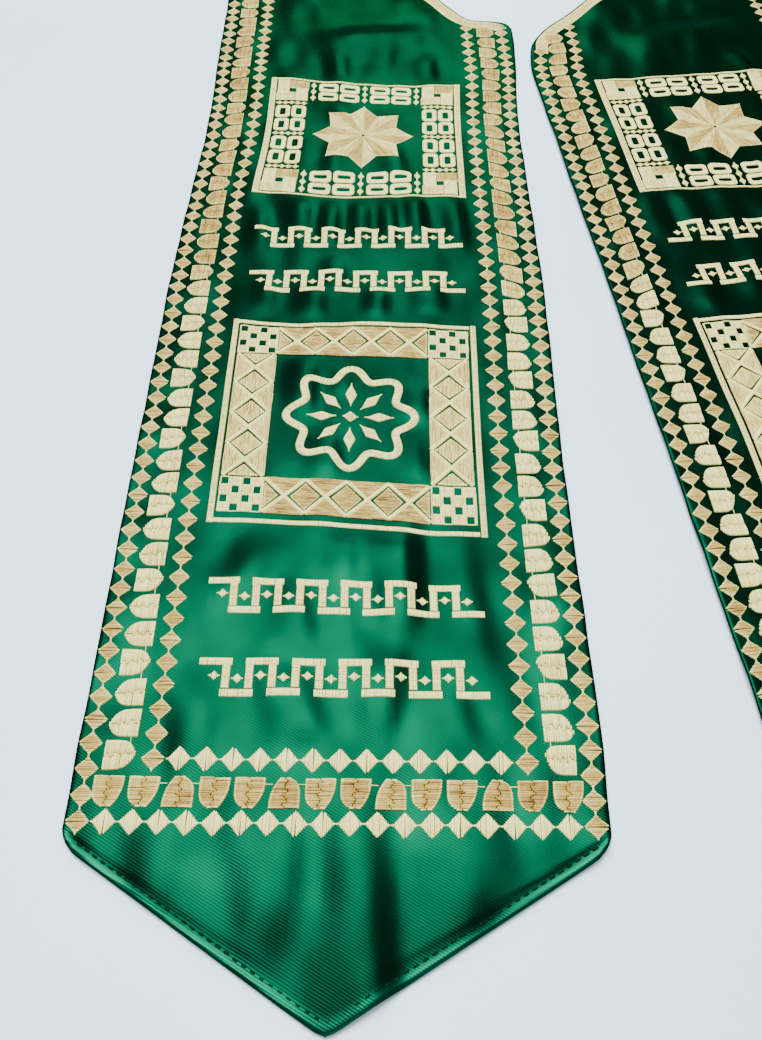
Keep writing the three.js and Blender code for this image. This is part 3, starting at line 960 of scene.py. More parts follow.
def diamond_row(side, inset, pitch):
    """Lozenges along a row, most with a short parting at one end. Those above the point are larger, and
    cream with painted sheen."""
    groups = []
    runs = row_runs(side, inset, pitch, 0.0, pitch, DIAMOND_CLEARANCE)
    for number, (places, heading, outwards, _) in enumerate(runs):
        bottom = number == BOTTOM_RUN
        tone, across = (BOTTOM_SHEEN_TONE, BOTTOM_ACROSS) if bottom else (SIDE_TONE, DIAMOND_ACROSS)
        kinds = rng.integers(-1, 2, len(places))
        for slit in (-1, 0, 1):
            shape = diamond(across=across, slit=slit)
            chosen = kinds == slit
            groups.append(repeated(shape, places[chosen], heading[chosen], outwards, tone))
    return joined(groups)


def tab_row(side):
    """Tabs along a row, two that face outwards and then one turned to face inwards. Those of the lower
    half of each side are cream, a painted sheen."""
    groups = []
    runs = row_runs(side, TAB_ROW_INSET, TAB_PITCH, TAB_CORNER_GAP, TAB_BOTTOM_GAP, TAB_CLEARANCE)
    for number, (places, heading, outwards, along) in enumerate(runs):
        turned = np.arange(len(places)) % TAB_CYCLE == FIRST_TURNED[number]
        painted_sheen = 0.0 if number == BOTTOM_RUN else smoothstep(*CREAM_SHEEN_ZONE, along) * CREAM_SHEEN_TONE
        tones = TAB_TONE + painted_sheen + rng.normal(0, TAB_TONE_SPREAD, len(places))
        above = np.inf
        for start, shape in TAB_SHAPES[number]:
            chosen = (along >= start) & (along < above)
            headings = heading[chosen] + math.pi * turned[chosen]
            groups.append(repeated(tab(shape), places[chosen], headings, outwards, tones[chosen]))
            above = start
        beside = turned[:-1] | turned[1:]
        groups.append(repeated(jump_thread(), places[:-1][beside], heading[:-1][beside], outwards))
    return joined(groups)


def border_pieces(side):
    """The three rows of one half."""
    edge_row = diamond_row(side, EDGE_ROW_INSET, DIAMOND_PITCH)
    field_row = diamond_row(side, FIELD_ROW_INSET, FIELD_PITCH)
    rows = (
        ("edge_diamonds", "edge_diamond_row", edge_row, THREAD_HEIGHT),
        ("tabs", "tab_row", tab_row(side), TAB_HEIGHT),
        ("field_diamonds", "field_diamond_row", field_row, THREAD_HEIGHT),
    )
    made = []
    for name, node, group, height in rows:
        piece = stitched_piece(f"{side}_{name}", side, group, height=height)
        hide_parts(f"{side}_{node}")
        made.append(piece)
    return made


# Frames, in p to the right and q up from the middle of the square

FIELD_SLOPE = {"left": -0.03, "right": 0.015}


def in_square(side, square, group):
    """From a square's own axes to the plan of the half. Both halves are stitched alike, so p runs to
    the right on each of them, and each square slopes a little on its panel."""
    def place(local):
        """Places of the square on the plan."""
        p = local[:, 0]
        q = local[:, 1] + FIELD_SLOPE[side] * p
        return panel_to_plan(PANEL_WIDTH / 2 + SIDES[side] * p, square.top + square.height / 2 - q)

    return group._replace(start=place(group.start), end=place(group.end))


def upright(places, low, high, tone):
    """Threads along q, one at each p."""
    places = np.asarray(places, float)
    low = np.broadcast_to(low, places.shape)
    high = np.broadcast_to(high, places.shape)
    return threads(pairs(places, low), pairs(places, high), tone)


def level(places, low, high, tone):
    """Threads along p, one at each q."""
    return quarter_turned(upright(-np.asarray(places, float), low, high, tone), -1)


def quarter_turned(group, quarters):
    """A set of threads turned about the middle by quarter turns."""
    c, s = round(math.cos(quarters * math.pi / 2)), round(math.sin(quarters * math.pi / 2))
    turn = np.array([[c, s], [-s, c]])
    return group._replace(start=group.start @ turn, end=group.end @ turn)


def moved(group, p, q):
    """A set of threads moved in the frame's axes."""
    return group._replace(start=group.start + (p, q), end=group.end + (p, q))


HEADING_REACH = 0.3


def satin_line(points, width, tone=0.8, lift=0.0, closed=False):
    """Threads across a line, square to it, at even steps along it."""
    points = np.asarray(points, float)
    if closed:
        points = np.concatenate([points, points[:1]])
    along = distances_along(points)
    where = np.arange(THREAD_PITCH / 2, along[-1], THREAD_PITCH)
    ahead = at_distances(points, along, where + HEADING_REACH)
    heading = ahead - at_distances(points, along, where - HEADING_REACH)
    heading /= np.hypot(*heading.T)[:, None]
    across = pairs(-heading[:, 1], heading[:, 0]) * width / 2
    places = at_distances(points, along, where)
    return threads(places - across, places + across, tone, lift)


SIDE_BAR_TONE = 0.5
FLAT_BAR_TONE = 0.9


def outline_threads(half_p, half_q, side_width, line_width):
    """The four satin bars round a frame."""
    across = np.arange(-half_q + THREAD_PITCH / 2, half_q, THREAD_PITCH)
    along = np.arange(-half_p + side_width, half_p - side_width, THREAD_PITCH)
    return joined([
        level(across, -half_p, -half_p + side_width, SIDE_BAR_TONE),
        level(across, half_p - side_width, half_p, SIDE_BAR_TONE),
        upright(along, half_q - line_width, half_q, FLAT_BAR_TONE),
        upright(along, -half_q, -half_q + line_width, FLAT_BAR_TONE),
    ])


CHECKS = 4
CHECK_HOLE = 2.5
CHECK_TONE = 0.75
CHECK_STITCH = 4.2


def check_block(size):
    """A block of upright threads with a chequer of square gaps, which leave eight of its sixteen
    squares."""
    cell = size / CHECKS
    groups = []
    for column in range(CHECKS):
        centre = (column + 0.5) * cell - size / 2
        places = np.arange(centre - cell / 2 + THREAD_PITCH / 2, centre + cell / 2, THREAD_PITCH)
        over_hole = np.abs(places - centre) < CHECK_HOLE / 2
        ends = [-size / 2]
        for row in range((column + 1) % 2, CHECKS, 2):
            middle = (row + 0.5) * cell - size / 2
            ends += [middle - CHECK_HOLE / 2, middle + CHECK_HOLE / 2]
        ends.append(size / 2)
        groups.append(upright(places[~over_hole], -size / 2, size / 2, CHECK_TONE))
        for low, high in zip(ends[::2], ends[1::2]):
            groups.append(upright(places[over_hole], low, high, CHECK_TONE))
    return split(joined(groups), CHECK_STITCH)


BAND_LOZENGES = 4
LOZENGE_LINE = 1.7
LOZENGE_GAP = 0.45
LINE_TONE = 0.95
LINE_LIFT = 0.22
LONGEST_STITCH = 5.0
SHORTEST_FILL = 0.6


def lozenge_band(length, width, tone):
    """A band of threads along p under two zigzag satin lines, which leave a row of lozenges between
    them. Each lozenge is parted from its lines by a narrow gap."""
    period = length / BAND_LOZENGES
    places = np.arange(-width / 2 + THREAD_PITCH / 2, width / 2, THREAD_PITCH)
    share = np.abs(places) / (width / 2)
    slant = math.hypot(period, width) / width
    inside = period / 2 * (1 - share) - (LOZENGE_LINE / 2 + LOZENGE_GAP) * slant
    outside = period / 2 * share
    groups = []
    for k in range(-BAND_LOZENGES, BAND_LOZENGES + 1):
        reach = inside if k % 2 == 0 else outside
        centre = k * period / 2
        low = np.clip(centre - reach, -length / 2, length / 2)
        high = np.clip(centre + reach, -length / 2, length / 2)
        keep = high - low > SHORTEST_FILL
        groups.append(level(places[keep], low[keep], high[keep], tone))
    fill = split(joined(groups), LONGEST_STITCH)
    corners = np.arange(BAND_LOZENGES + 1)
    p = -length / 2 + corners * period
    zigzag = np.where(corners % 2 == 0, 1.0, -1.0) * (width / 2 - LOZENGE_LINE / 3)
    routes = (pairs(p, zigzag), pairs(p, -zigzag))
    return joined([fill] + [satin_line(route, LOZENGE_LINE, LINE_TONE, LINE_LIFT) for route in routes])


LOWER_BARS = (2.5, 2.2)
LOWER_BAND = 15.5
Gaps = namedtuple("Gaps", "left right top bottom")
LOWER_GAPS = Gaps(0.4, 0.8, 0.5, 2.0)
BAND_PARTING = 0.4
FLAT_BAND_TONE = 0.05
TALL_BAND_TONE = 0.4


def lower_frame_threads():
    """An outline, four corner chequers and four bands of lozenges, the upright bands paler."""
    half_p, half_q = FRAME_WIDTH / 2, LOWER_FRAME.height / 2
    groups = [outline_threads(half_p, half_q, *LOWER_BARS)]
    left = -half_p + LOWER_BARS[0] + LOWER_GAPS.left
    right = half_p - LOWER_BARS[0] - LOWER_GAPS.right
    top = half_q - LOWER_BARS[1] - LOWER_GAPS.top
    bottom = -half_q + LOWER_BARS[1] + LOWER_GAPS.bottom
    corner_p = (left + LOWER_BAND / 2, right - LOWER_BAND / 2)
    corner_q = (bottom + LOWER_BAND / 2, top - LOWER_BAND / 2)
    width = LOWER_BAND - BAND_PARTING
    block = check_block(width)
    groups += [moved(block, p, q) for p in corner_p for q in corner_q]
    flat_band = lozenge_band(right - left - 2 * LOWER_BAND, width, FLAT_BAND_TONE)
    tall_band = lozenge_band(top - bottom - 2 * LOWER_BAND, width, TALL_BAND_TONE)
    tall_band = quarter_turned(tall_band, 1)
    groups += [moved(flat_band, (left + right) / 2, q) for q in corner_q]
    groups += [moved(tall_band, p, (top + bottom) / 2) for p in corner_p]
    return joined(groups)


CORNER_POINTS = 6


def rounded_box(width, height, radius, count):
    """Points round a rectangle with round corners, from the middle of its right side, at even steps."""
    turn = np.linspace(0, math.pi / 2, CORNER_POINTS)
    corners = []
    for quarter, (p, q) in enumerate(((1, 1), (-1, 1), (-1, -1), (1, -1))):
        angle = turn + quarter * math.pi / 2
        x = p * (width / 2 - radius) + radius * np.cos(angle)
        y = q * (height / 2 - radius) + radius * np.sin(angle)
        corners.append(pairs(x, y))
    middle = [[width / 2, 0.0]]
    return resampled(np.concatenate([middle, *corners, middle]), count + 1)[:-1]


RING_TONE = 0.9
RING_CORNER = 2.0
SLOT_CORNER = 0.4
RING_COVER = 0.85


def ring(width, height, hole_width, hole_height):
    """Threads from a slot out to the rounded rectangle round it."""
    count = int((width + height) * 2 / THREAD_PITCH * RING_COVER)
    outer = rounded_box(width, height, RING_CORNER, count)
    inner = rounded_box(hole_width, hole_height, SLOT_CORNER, count)
    return threads(inner, outer, RING_TONE)


BLOCK_HOLE = (3.0, 2.6)
BLOCK_PAINTED_SHADING = (0.1, 0.85, 0.6, 0.75)


def holed_block(width, height):
    """Four pieces of satin round a small gap, each a quarter turn on from the last, with a tone of its
    own that paints sheen and shade by the way its threads run."""
    hole_p, hole_q = BLOCK_HOLE[0] / 2, BLOCK_HOLE[1] / 2
    half_p, half_q = width / 2, height / 2
    top_places = np.arange(-hole_p, half_p, THREAD_PITCH) + THREAD_PITCH / 2
    side_places = np.arange(-half_q, hole_q, THREAD_PITCH) + THREAD_PITCH / 2
    pieces = [
        upright(top_places, hole_q, half_q, BLOCK_PAINTED_SHADING[0]),
        level(side_places, hole_p, half_p, BLOCK_PAINTED_SHADING[1]),
        upright(-top_places, -half_q, -hole_q, BLOCK_PAINTED_SHADING[2]),
        level(-side_places, -half_p, -hole_p, BLOCK_PAINTED_SHADING[3]),
    ]
    return split(joined(pieces), LONGEST_STITCH)


BEAD_SHARE = 0.96
BEAD_ACROSS = 3.4
BEAD_TONE = 0.7


def bead_chain(length, count):
    """Small lozenges in a row along p."""
    step = length / count
    centres = (np.arange(count) - (count - 1) / 2) * step
    bead = diamond(step * BEAD_SHARE, BEAD_ACROSS, BEAD_TONE)
    return repeated(bead, pairs(centres, np.zeros(count)), 0.0)


RING_GAPS = (0.45, 0.315)
CHAIN_INSET = 0.6
RingBand = namedtuple("RingBand", "chain beads slot_length slot_height")
FLAT_RINGS = RingBand(4.4, 3, 5.4, 2.0)
TALL_RINGS = RingBand(3.4, 5, 5.2, 2.5)


def ring_band(length, width, plan):
    """A band of rings along p: three chains of beads across it, and two pairs of rings between each
    two."""
    cell = (length - 3 * plan.chain) / 4
    beads = quarter_turned(bead_chain(width - CHAIN_INSET, plan.beads), 1)
    one = ring(cell - RING_GAPS[0], width / 2 - RING_GAPS[1], plan.slot_length, plan.slot_height)
    steps = np.arange(3) * (length - plan.chain) / 2
    groups = [moved(beads, place, 0) for place in -length / 2 + plan.chain / 2 + steps]
    for start in (-length / 2 + plan.chain, plan.chain / 2):
        for column in (0.5, 1.5):
            groups += [moved(one, start + column * cell, row * width / 4) for row in (-1, 1)]
    return joined(groups)


UPPER_BARS = (3.2, 1.4)
UPPER_BLOCK = (15.6, 15.6)
UPPER_GAPS = (0.3, 0.4)
BLOCK_GAP = 0.6


def upper_frame_threads():
    """An outline, a holed block in each corner, and bands of slotted rings between them."""
    half_p, half_q = FRAME_WIDTH / 2, UPPER_FRAME.height / 2
    width, height = UPPER_BLOCK
    corner_p = half_p - UPPER_BARS[0] - UPPER_GAPS[0] - width / 2
    corner_q = half_q - UPPER_BARS[1] - UPPER_GAPS[1] - height / 2
    groups = [outline_threads(half_p, half_q, *UPPER_BARS)]
    block = holed_block(width, height)
    groups += [moved(block, p, q) for p in (-corner_p, corner_p) for q in (-corner_q, corner_q)]
    flat_band = ring_band(2 * corner_p - width - BLOCK_GAP, height, FLAT_RINGS)
    tall_band = quarter_turned(ring_band(2 * corner_q - height - BLOCK_GAP, width, TALL_RINGS), 1)
    groups += [moved(flat_band, 0, q) for q in (-corner_q, corner_q)]
    groups += [moved(tall_band, p, 0) for p in (-corner_p, corner_p)]
    return joined(groups)


STAR_TONES = (0.1, 0.55)
STAR_STITCH = 6.5


def star_threads():
    """A star in satin stitch. Each half of a point is a triangle between its tip, the middle and the
    notch beside it, filled with threads parallel to the line from the middle to the notch."""
    half_step = math.pi / STAR_POINTS
    depth = STAR_RADIUS * math.sin(half_step)
    count = int(depth / THREAD_PITCH)
    shares = (np.arange(count) + 0.5)[:, None] / count
    tip = np.array([[STAR_RADIUS, 0.0]])
    groups = []
    for sign, tone in zip((-1, 1), STAR_TONES):
        notch = STAR_RADIUS * STAR_NOTCH * np.array([[math.cos(half_step), sign * math.sin(half_step)]])
        groups.append(threads(tip * (1 - shares), tip + (notch - tip) * shares, tone))
    turns = np.arange(STAR_POINTS) * 2 * half_step
    return split(repeated(joined(groups), np.zeros((STAR_POINTS, 2)), turns), STAR_STITCH)


Leaf = namedtuple("Leaf", "along across tone")
ROSETTE_LEAF = Leaf(10.5, 4.6, 0.75)
ROSETTE_HEART = Leaf(5.4, 5.4, 0.6)
ROSETTE_POINTS = 720
LEAF_RADIUS = 10.4
ROSETTE_TONE = 0.8


def rosette_threads():
    """A satin line round eight petals, whose distance from the middle falls as a squared sine between
    them. A lozenge points into each petal, and a small one lies in the middle."""
    angle = np.linspace(0, 2 * math.pi, ROSETTE_POINTS, endpoint=False)
    fall = np.sin(ROSETTE_PETALS * angle / 2) ** 2
    radius = ROSETTE_RADIUS - ROSETTE_STROKE / 2 - ROSETTE_DEPTH * fall
    line = pairs(radius * np.cos(angle), radius * np.sin(angle))
    turns = np.arange(ROSETTE_PETALS) * 2 * math.pi / ROSETTE_PETALS
    centres = on_circle(LEAF_RADIUS, turns) - (0, NECK_CENTRE_Y)
    leaves = repeated(diamond(*ROSETTE_LEAF), centres, turns)
    ring_line = satin_line(line, ROSETTE_STROKE, ROSETTE_TONE, closed=True)
    return joined([ring_line, leaves, diamond(*ROSETTE_HEART)])


def frame_pieces(side):
    """Both frames of one half and the motif inside each."""
    pieces = [
        (f"{side}_lower_frame", "lower_frame_stitching", LOWER_FRAME, lower_frame_threads()),
        (f"{side}_upper_frame", "upper_frame_stitching", UPPER_FRAME, upper_frame_threads()),
        (f"{side}_star", "star_stitching", UPPER_FRAME, star_threads()),
        (f"{side}_rosette", "rosette_stitching", LOWER_FRAME, rosette_threads()),
    ]
    made = []
    for node, name, square, group in pieces:
        piece = stitched_piece(f"{side}_{name}", side, in_square(side, square, group))
        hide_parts(node)
        made.append(piece)
    return made


RUN_TONE = 0.85
RISE_TONE = 0.7
BAY_LOZENGE = Leaf(3.2, 3.4, 0.9)
BAY_GAP = 0.4


def meander_threads(top):
    """A satin line in square turns across the field, made of straight bars, with a small lozenge in
    each bay."""
    step = MEANDER_LENGTH / (2 * MEANDER_TURNS)
    half = MEANDER_STROKE / 2
    upper, lower = top + half, top + MEANDER_HEIGHT - half
    groups = []
    for k in range(2 * MEANDER_TURNS):
        start = (PANEL_WIDTH - MEANDER_LENGTH) / 2 + k * step
        run, bay = (upper, lower) if k % 2 else (lower, upper)
        run_places = np.arange(start - half, start + step + half, THREAD_PITCH)
        groups.append(upright(run_places, run - half, run + half, RUN_TONE))
        inwards = math.copysign(MEANDER_HEIGHT / 2 - half + BAY_GAP, run - bay)
        groups.append(moved(diamond(*BAY_LOZENGE), start + step / 2, bay + inwards))
        if k > 0:
            rise_places = np.arange(upper + half, lower - half, THREAD_PITCH)
            groups.append(level(rise_places, start - half, start + half, RISE_TONE))
    both = joined(groups)
    return both._replace(start=panel_to_plan(*both.start.T), end=panel_to_plan(*both.end.T))


def meander_pieces(side):
    """The four bands of ornament of one half."""
    made = []
    for name, tops in (("upper", UPPER_MEANDERS), ("lower", LOWER_MEANDERS)):
        for number, top in enumerate(tops, 1):
            piece = stitched_piece(f"{side}_{name}_band_{number}", side, meander_threads(top))
            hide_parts(f"{side}_{name}_meander_{number}")
            made.append(piece)
    return made


TRIM_START = 4
TRIM_CORNER = (4, 20)
CORNER_INSET = 1.6
TRIM_TONE = 0.45
TRIM_STITCH = 3.6
TRIM_WAVER = 0.1


def trim_piece(side):
    """Close threads across a band that follows the neck edge, from just inside the rounded corner,
    where it keeps farther from the edge."""
    edge = neck_edge(side)[0]
    ahead = np.gradient(edge, axis=0)
    along = np.concatenate([[0.0], np.cumsum(np.hypot(*ahead[1:].T))])
    ahead /= np.hypot(*ahead.T)[:, None]
    outwards = pairs(ahead[:, 1], -ahead[:, 0])
    inset = TRIM_INSET + CORNER_INSET * (1 - smoothstep(*TRIM_CORNER, along)) + TRIM_WIDTH / 2
    line = (edge + outwards * inset[:, None])[along > TRIM_START]
    line[:, 0] = np.maximum(line[:, 0], SEAM_GAP / 2)
    group = split(satin_line(line, TRIM_WIDTH, TRIM_TONE), TRIM_STITCH, TRIM_WAVER)
    piece = stitched_piece(f"{side}_trim", side, group)
    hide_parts(f"{side}_neck_trim")
    return piece


HEM_POINTS = 400
HEM_CORNER = 1
HEM_START = 0.5
HEM_STITCH = 2.0
HEM_STEP = 2.8
HEM_WIDTH = 0.8
HEM_HEIGHT = 0.24
HEM_LIFT = -0.2


def hem_piece(side):
    """Green stitches in a line, a little inside the two slanted edges of the point."""
    a = np.linspace(HEM_LINE + HEM_CORNER, PANEL_WIDTH - HEM_LINE - HEM_CORNER, HEM_POINTS)
    slope = 2 * (POINT_DEPTH - CORNER_DROP) / PANEL_WIDTH
    line = panel_to_plan(a, point_end(a) - HEM_LINE * math.hypot(1, slope))
    along = distances_along(line)
    where = np.arange(HEM_START, along[-1] - HEM_STITCH, HEM_STEP)
    starts, ends = at_distances(line, along, where), at_distances(line, along, where + HEM_STITCH)
    group = threads(starts, ends, lift=HEM_LIFT)
    return stitched_piece(f"{side}_hem_stitches", side, group, HEM_WIDTH, HEM_HEIGHT)


SEAM_WIDTH = 1.6
SEAM_HEIGHT = 0.12
SEAM_INSET = 0.5


def seam_piece():
    """Close green threads across the seam at the middle of the back, from the neck edge to the outer
    edge."""
    low = neck_edge("right")[0][-1, 1] + SEAM_INSET
    y = np.arange(low, NECK_CENTRE_Y + OUTER_RADIUS - SEAM_INSET, THREAD_PITCH)
    half = np.full(y.shape, SEAM_WIDTH / 2)
    group = threads(pairs(-half, y), pairs(half, y))
    return stitched_piece("centre_seam", "right", group, THREAD_WIDTH, SEAM_HEIGHT)


# Materials


def linear(red, green, blue):
    """A colour given as seen on a screen, 0 to 255, as linear light."""
    values = np.array([red, green, blue]) / 255
    values = np.where(values <= 0.04045, values / 12.92, ((values + 0.055) / 1.055) ** 2.4)
    return (*values, 1.0)


SATIN_GREEN = linear(0, 46, 30)
SATIN_SHADE = linear(0, 23, 11)
# Painted highlight on the rolled rim at the point
SATIN_RIM_HIGHLIGHT = linear(0, 60, 40)
SATIN_GLOSS = linear(0, 204, 188)
SATIN_METAL = 1.0
SATIN_ROUGHNESS = 0.31
HEM_GREEN = linear(0, 38, 21)
# The brown of painted shadow, the tan of the thread and the cream of painted sheen
SHADOW_BROWN_THREAD = linear(86, 53, 14)
TAN_THREAD = linear(176, 140, 56)
SHEEN_CREAM_THREAD = linear(238, 227, 142)
TABLE_WHITE = linear(222, 239, 255)
TABLE_SHADE = linear(215, 232, 252)
THREAD_ROUGHNESS = 0.42
GOLD_GLOSS = 0.4
HEM_GLOSS = 0.04
TABLE_ROUGHNESS = 0.45

# Ribs, patches and fibres to the metre
TWILL_RIBS = 1320.0
TWILL_NOISE = 60.0
SATIN_PATCHES = 35.0
TABLE_PATCHES = 6.0
THREAD_PATCHES = 260.0
THREAD_FIBRES = 2600.0

# The satin's ribs, what brightens or smooths it (the brighter rib crests are a painted highlight), and
# its bump's strength and depth in metres
TWILL_SLANT = (0.53, 0.85, 0)
TWILL_BEND = 0.0012
PATCH_LIGHT = 0.6
CREST_HIGHLIGHT = 0.4
PATCH_SMOOTHING = -0.06
TWILL_BUMP = (0.22, 0.00004)

# What changes a thread's tone, with the painted highlight at its free ends, and its bump
STREAK_SPREAD = 0.5
PATCH_SPREAD = 0.2
END_HIGHLIGHT_WIDTH = 1.1
END_HIGHLIGHT_TONE = 0.8
FIBRE_BUMP = (0.4, 0.00006)


class Graph:
    """Adds nodes to a tree and links what feeds them."""

    def __init__(self, tree):
        """Keeps the tree that the nodes go into."""
        self.tree = tree

    def node(self, kind, settings=None, inputs=None):
        """A node of a kind, with its settings, and its inputs given as values or as sockets to link."""
        made = self.tree.nodes.new(kind)
        for name, value in (settings or {}).items():
            setattr(made, name, value)
        for name, value in (inputs or {}).items():
            if isinstance(value, bpy.types.NodeSocket):
                self.tree.links.new(value, made.inputs[name])
            else:
                made.inputs[name].default_value = value
        return made

    def math(self, operation, *values):
        """The result of a Math node."""
        return self.node("ShaderNodeMath", {"operation": operation}, dict(enumerate(values))).outputs[0]

    def mix(self, factor, low, high):
        """The result of a colour Mix node."""
        made = self.node("ShaderNodeMix", {"data_type": "RGBA"}, {0: factor, 6: low, 7: high})
        return made.outputs[2]


def new_group(name, inputs, outputs):
    """A node group with named inputs and outputs. Each input has its default value, or None for a
    place."""
    group = bpy.data.node_groups.new(name, "ShaderNodeTree")
    for key, value in inputs.items():
        kind = "NodeSocketVector" if value is None else "NodeSocketFloat"
        made = group.interface.new_socket(name=key, socket_type=kind, in_out="INPUT")
        if value is not None:
            made.default_value = value
    for key in outputs:
        group.interface.new_socket(name=key, socket_type="NodeSocketFloat", in_out="OUTPUT")
    taken = group.nodes.new("NodeGroupInput")
    given = group.nodes.new("NodeGroupOutput")
    return group, Graph(group), taken.outputs, given.inputs


def soft_patches_group():
    """A slow noise, 0 to 1, with its contrast raised about one half."""
    group, graph, taken, given = new_group(
        "soft_patches", {"Place": None, "Per metre": SATIN_PATCHES}, ("Mask",)
    )
    noise = graph.node(
        "ShaderNodeTexNoise", None, {"Vector": taken["Place"], "Scale": taken["Per metre"]}
    )
    spread = graph.node(
        "ShaderNodeMapRange", None, {"Value": noise.outputs["Fac"], "From Min": 0.3, "From Max": 0.7}
    )
    graph.tree.links.new(spread.outputs[0], given["Mask"])
    return group


def twill_group():
    """Diagonal ribs: the sine of the distance across them, which a slow noise bends a little. Crest is
    1 on top of a rib and 0 between two."""
    group, graph, taken, given = new_group(
        "twill", {"Place": None, "Ribs per metre": TWILL_RIBS, "Bend": TWILL_BEND}, ("Height", "Crest")
    )
    noise = graph.node("ShaderNodeTexNoise", None, {"Vector": taken["Place"], "Scale": TWILL_NOISE})
    slant = graph.node(
        "ShaderNodeVectorMath", {"operation": "DOT_PRODUCT"}, {0: taken["Place"], 1: TWILL_SLANT}
    )
    bent = graph.math("MULTIPLY_ADD", noise.outputs["Fac"], taken["Bend"], slant.outputs["Value"])
    turns = graph.math("MULTIPLY", bent, taken["Ribs per metre"])
    wave = graph.math("SINE", graph.math("MULTIPLY", turns, 2 * math.pi))
    graph.tree.links.new(wave, given["Height"])
    graph.tree.links.new(graph.math("MULTIPLY_ADD", wave, 0.5, 0.5), given["Crest"])
    return group


def fibres_group():
    """A fine noise, 0 to 1, for the filaments of a thread."""
    group, graph, taken, given = new_group(
        "fibres", {"Place": None, "Per metre": THREAD_FIBRES}, ("Streak",)
    )
    noise = graph.node(
        "ShaderNodeTexNoise",
        None,
        {"Vector": taken["Place"], "Scale": taken["Per metre"], "Detail": 2.0},
    )
    graph.tree.links.new(noise.outputs["Fac"], given["Streak"])
    return group


def end_highlight_group():
    """A painted highlight: 1 at a thread's free ends, and 0 from the rim's width inwards, by the
    distance from the nearer end."""
    group, graph, taken, given = new_group(
        "painted_end_highlight", {"From start": 0.0, "From end": 0.0, "Width": 1.0}, ("Mask",)
    )
    nearer = graph.math("MINIMUM", taken["From start"], taken["From end"])
    inner = graph.math("MULTIPLY", taken["Width"], 0.3)
    spread = graph.node(
        "ShaderNodeMapRange", None,
        {"Value": nearer, "From Min": inner, "From Max": taken["Width"], "To Min": 1.0, "To Max": 0.0},
    )
    graph.tree.links.new(spread.outputs[0], given["Mask"])
    return group


def new_material(name, values):
    """A material with its own values on the Principled shader's sockets."""
    material = bpy.data.materials.new(name)
    material.use_nodes = True
    shader = material.node_tree.nodes["Principled BSDF"]
    for key, value in values.items():
        shader.inputs[key].default_value = value
    return material, Graph(material.node_tree), shader


def placed_group(graph, group, values):
    """A group in a material, given the object's own coordinates."""
    place = graph.node("ShaderNodeTexCoord").outputs["Object"]
    return graph.node("ShaderNodeGroup", {"node_tree": group}, {"Place": place, **values}).outputs


def add_bump(graph, shader, height, strength, distance):
    """A bump of a strength and a depth in metres, from a height."""
    bump = graph.node(
        "ShaderNodeBump", None, {"Strength": strength, "Distance": distance, "Height": height}
    )
    graph.tree.links.new(bump.outputs["Normal"], shader.inputs["Normal"])


def satin_material(groups):
    """Green satin. The crests of its twill are brighter, a painted highlight, with painted shade between
    them, and its gloss has the colour of the yarn. Along the turned rim at the point it is lighter, a
    painted highlight."""
    material, graph, shader = new_material(
        "green_satin", {"Metallic": SATIN_METAL, "Specular Tint": SATIN_GLOSS}
    )
    twill = placed_group(graph, groups["twill"], {"Ribs per metre": TWILL_RIBS})
    patches = placed_group(graph, groups["soft_patches"], {"Per metre": SATIN_PATCHES})
    # Painted highlight on the crests of the twill ribs, added to the random tone of the patches
    crest_highlights = graph.math("MULTIPLY", twill["Crest"], CREST_HIGHLIGHT)
    patch_tone_and_crest_highlight = graph.math("MULTIPLY_ADD", patches["Mask"], PATCH_LIGHT, crest_highlights)
    rim_highlight = graph.node("ShaderNodeAttribute", {"attribute_name": "rim_highlight"}).outputs["Fac"]
    green = graph.mix(rim_highlight, graph.mix(patch_tone_and_crest_highlight, SATIN_SHADE, SATIN_GREEN), SATIN_RIM_HIGHLIGHT)
    graph.tree.links.new(green, shader.inputs["Base Color"])
    roughness = graph.math("MULTIPLY_ADD", patches["Mask"], PATCH_SMOOTHING, SATIN_ROUGHNESS)
    graph.tree.links.new(roughness, shader.inputs["Roughness"])
    add_bump(graph, shader, twill["Height"], *TWILL_BUMP)
    return material


def thread_material(groups, name, colours, gloss):
    """Rayon thread, through three colours by the thread's tone, which runs from -0.5 to 1; on the gold
    thread the lowest colour is painted shadow and the highest painted sheen. Slow patches, fine streaks
    and a painted highlight at the free ends are added to the tone."""
    material, graph, shader = new_material(
        name, {"Roughness": THREAD_ROUGHNESS, "Specular IOR Level": gloss}
    )
    fibres = placed_group(graph, groups["fibres"], {"Per metre": THREAD_FIBRES})
    patches = placed_group(graph, groups["soft_patches"], {"Per metre": THREAD_PATCHES})
    tone = graph.node("ShaderNodeAttribute", {"attribute_name": "tone"}).outputs["Fac"]
    streaks = graph.math("MULTIPLY_ADD", fibres["Streak"], STREAK_SPREAD, -STREAK_SPREAD / 2)
    blotches = graph.math("MULTIPLY_ADD", patches["Mask"], PATCH_SPREAD, -PATCH_SPREAD / 2)
    patched = graph.math("ADD", graph.math("ADD", tone, streaks), blotches)
    ends = {
        key: graph.node("ShaderNodeAttribute", {"attribute_name": attribute}).outputs["Fac"]
        for key, attribute in (("From start", "from_start"), ("From end", "from_end"))
    }
    # Painted highlight at the free ends of the threads
    rim_highlight = graph.node(
        "ShaderNodeGroup", {"node_tree": groups["painted_end_highlight"]}, {**ends, "Width": END_HIGHLIGHT_WIDTH}
    )
    mixed = graph.math("MULTIPLY_ADD", rim_highlight.outputs["Mask"], END_HIGHLIGHT_TONE, patched)
    deep, middle, pale = colours
    low = graph.mix(graph.math("MULTIPLY_ADD", mixed, 2.0, 1.0), deep, middle)
    graph.tree.links.new(graph.mix(mixed, low, pale), shader.inputs["Base Color"])
    add_bump(graph, shader, fibres["Streak"], *FIBRE_BUMP)
    return material


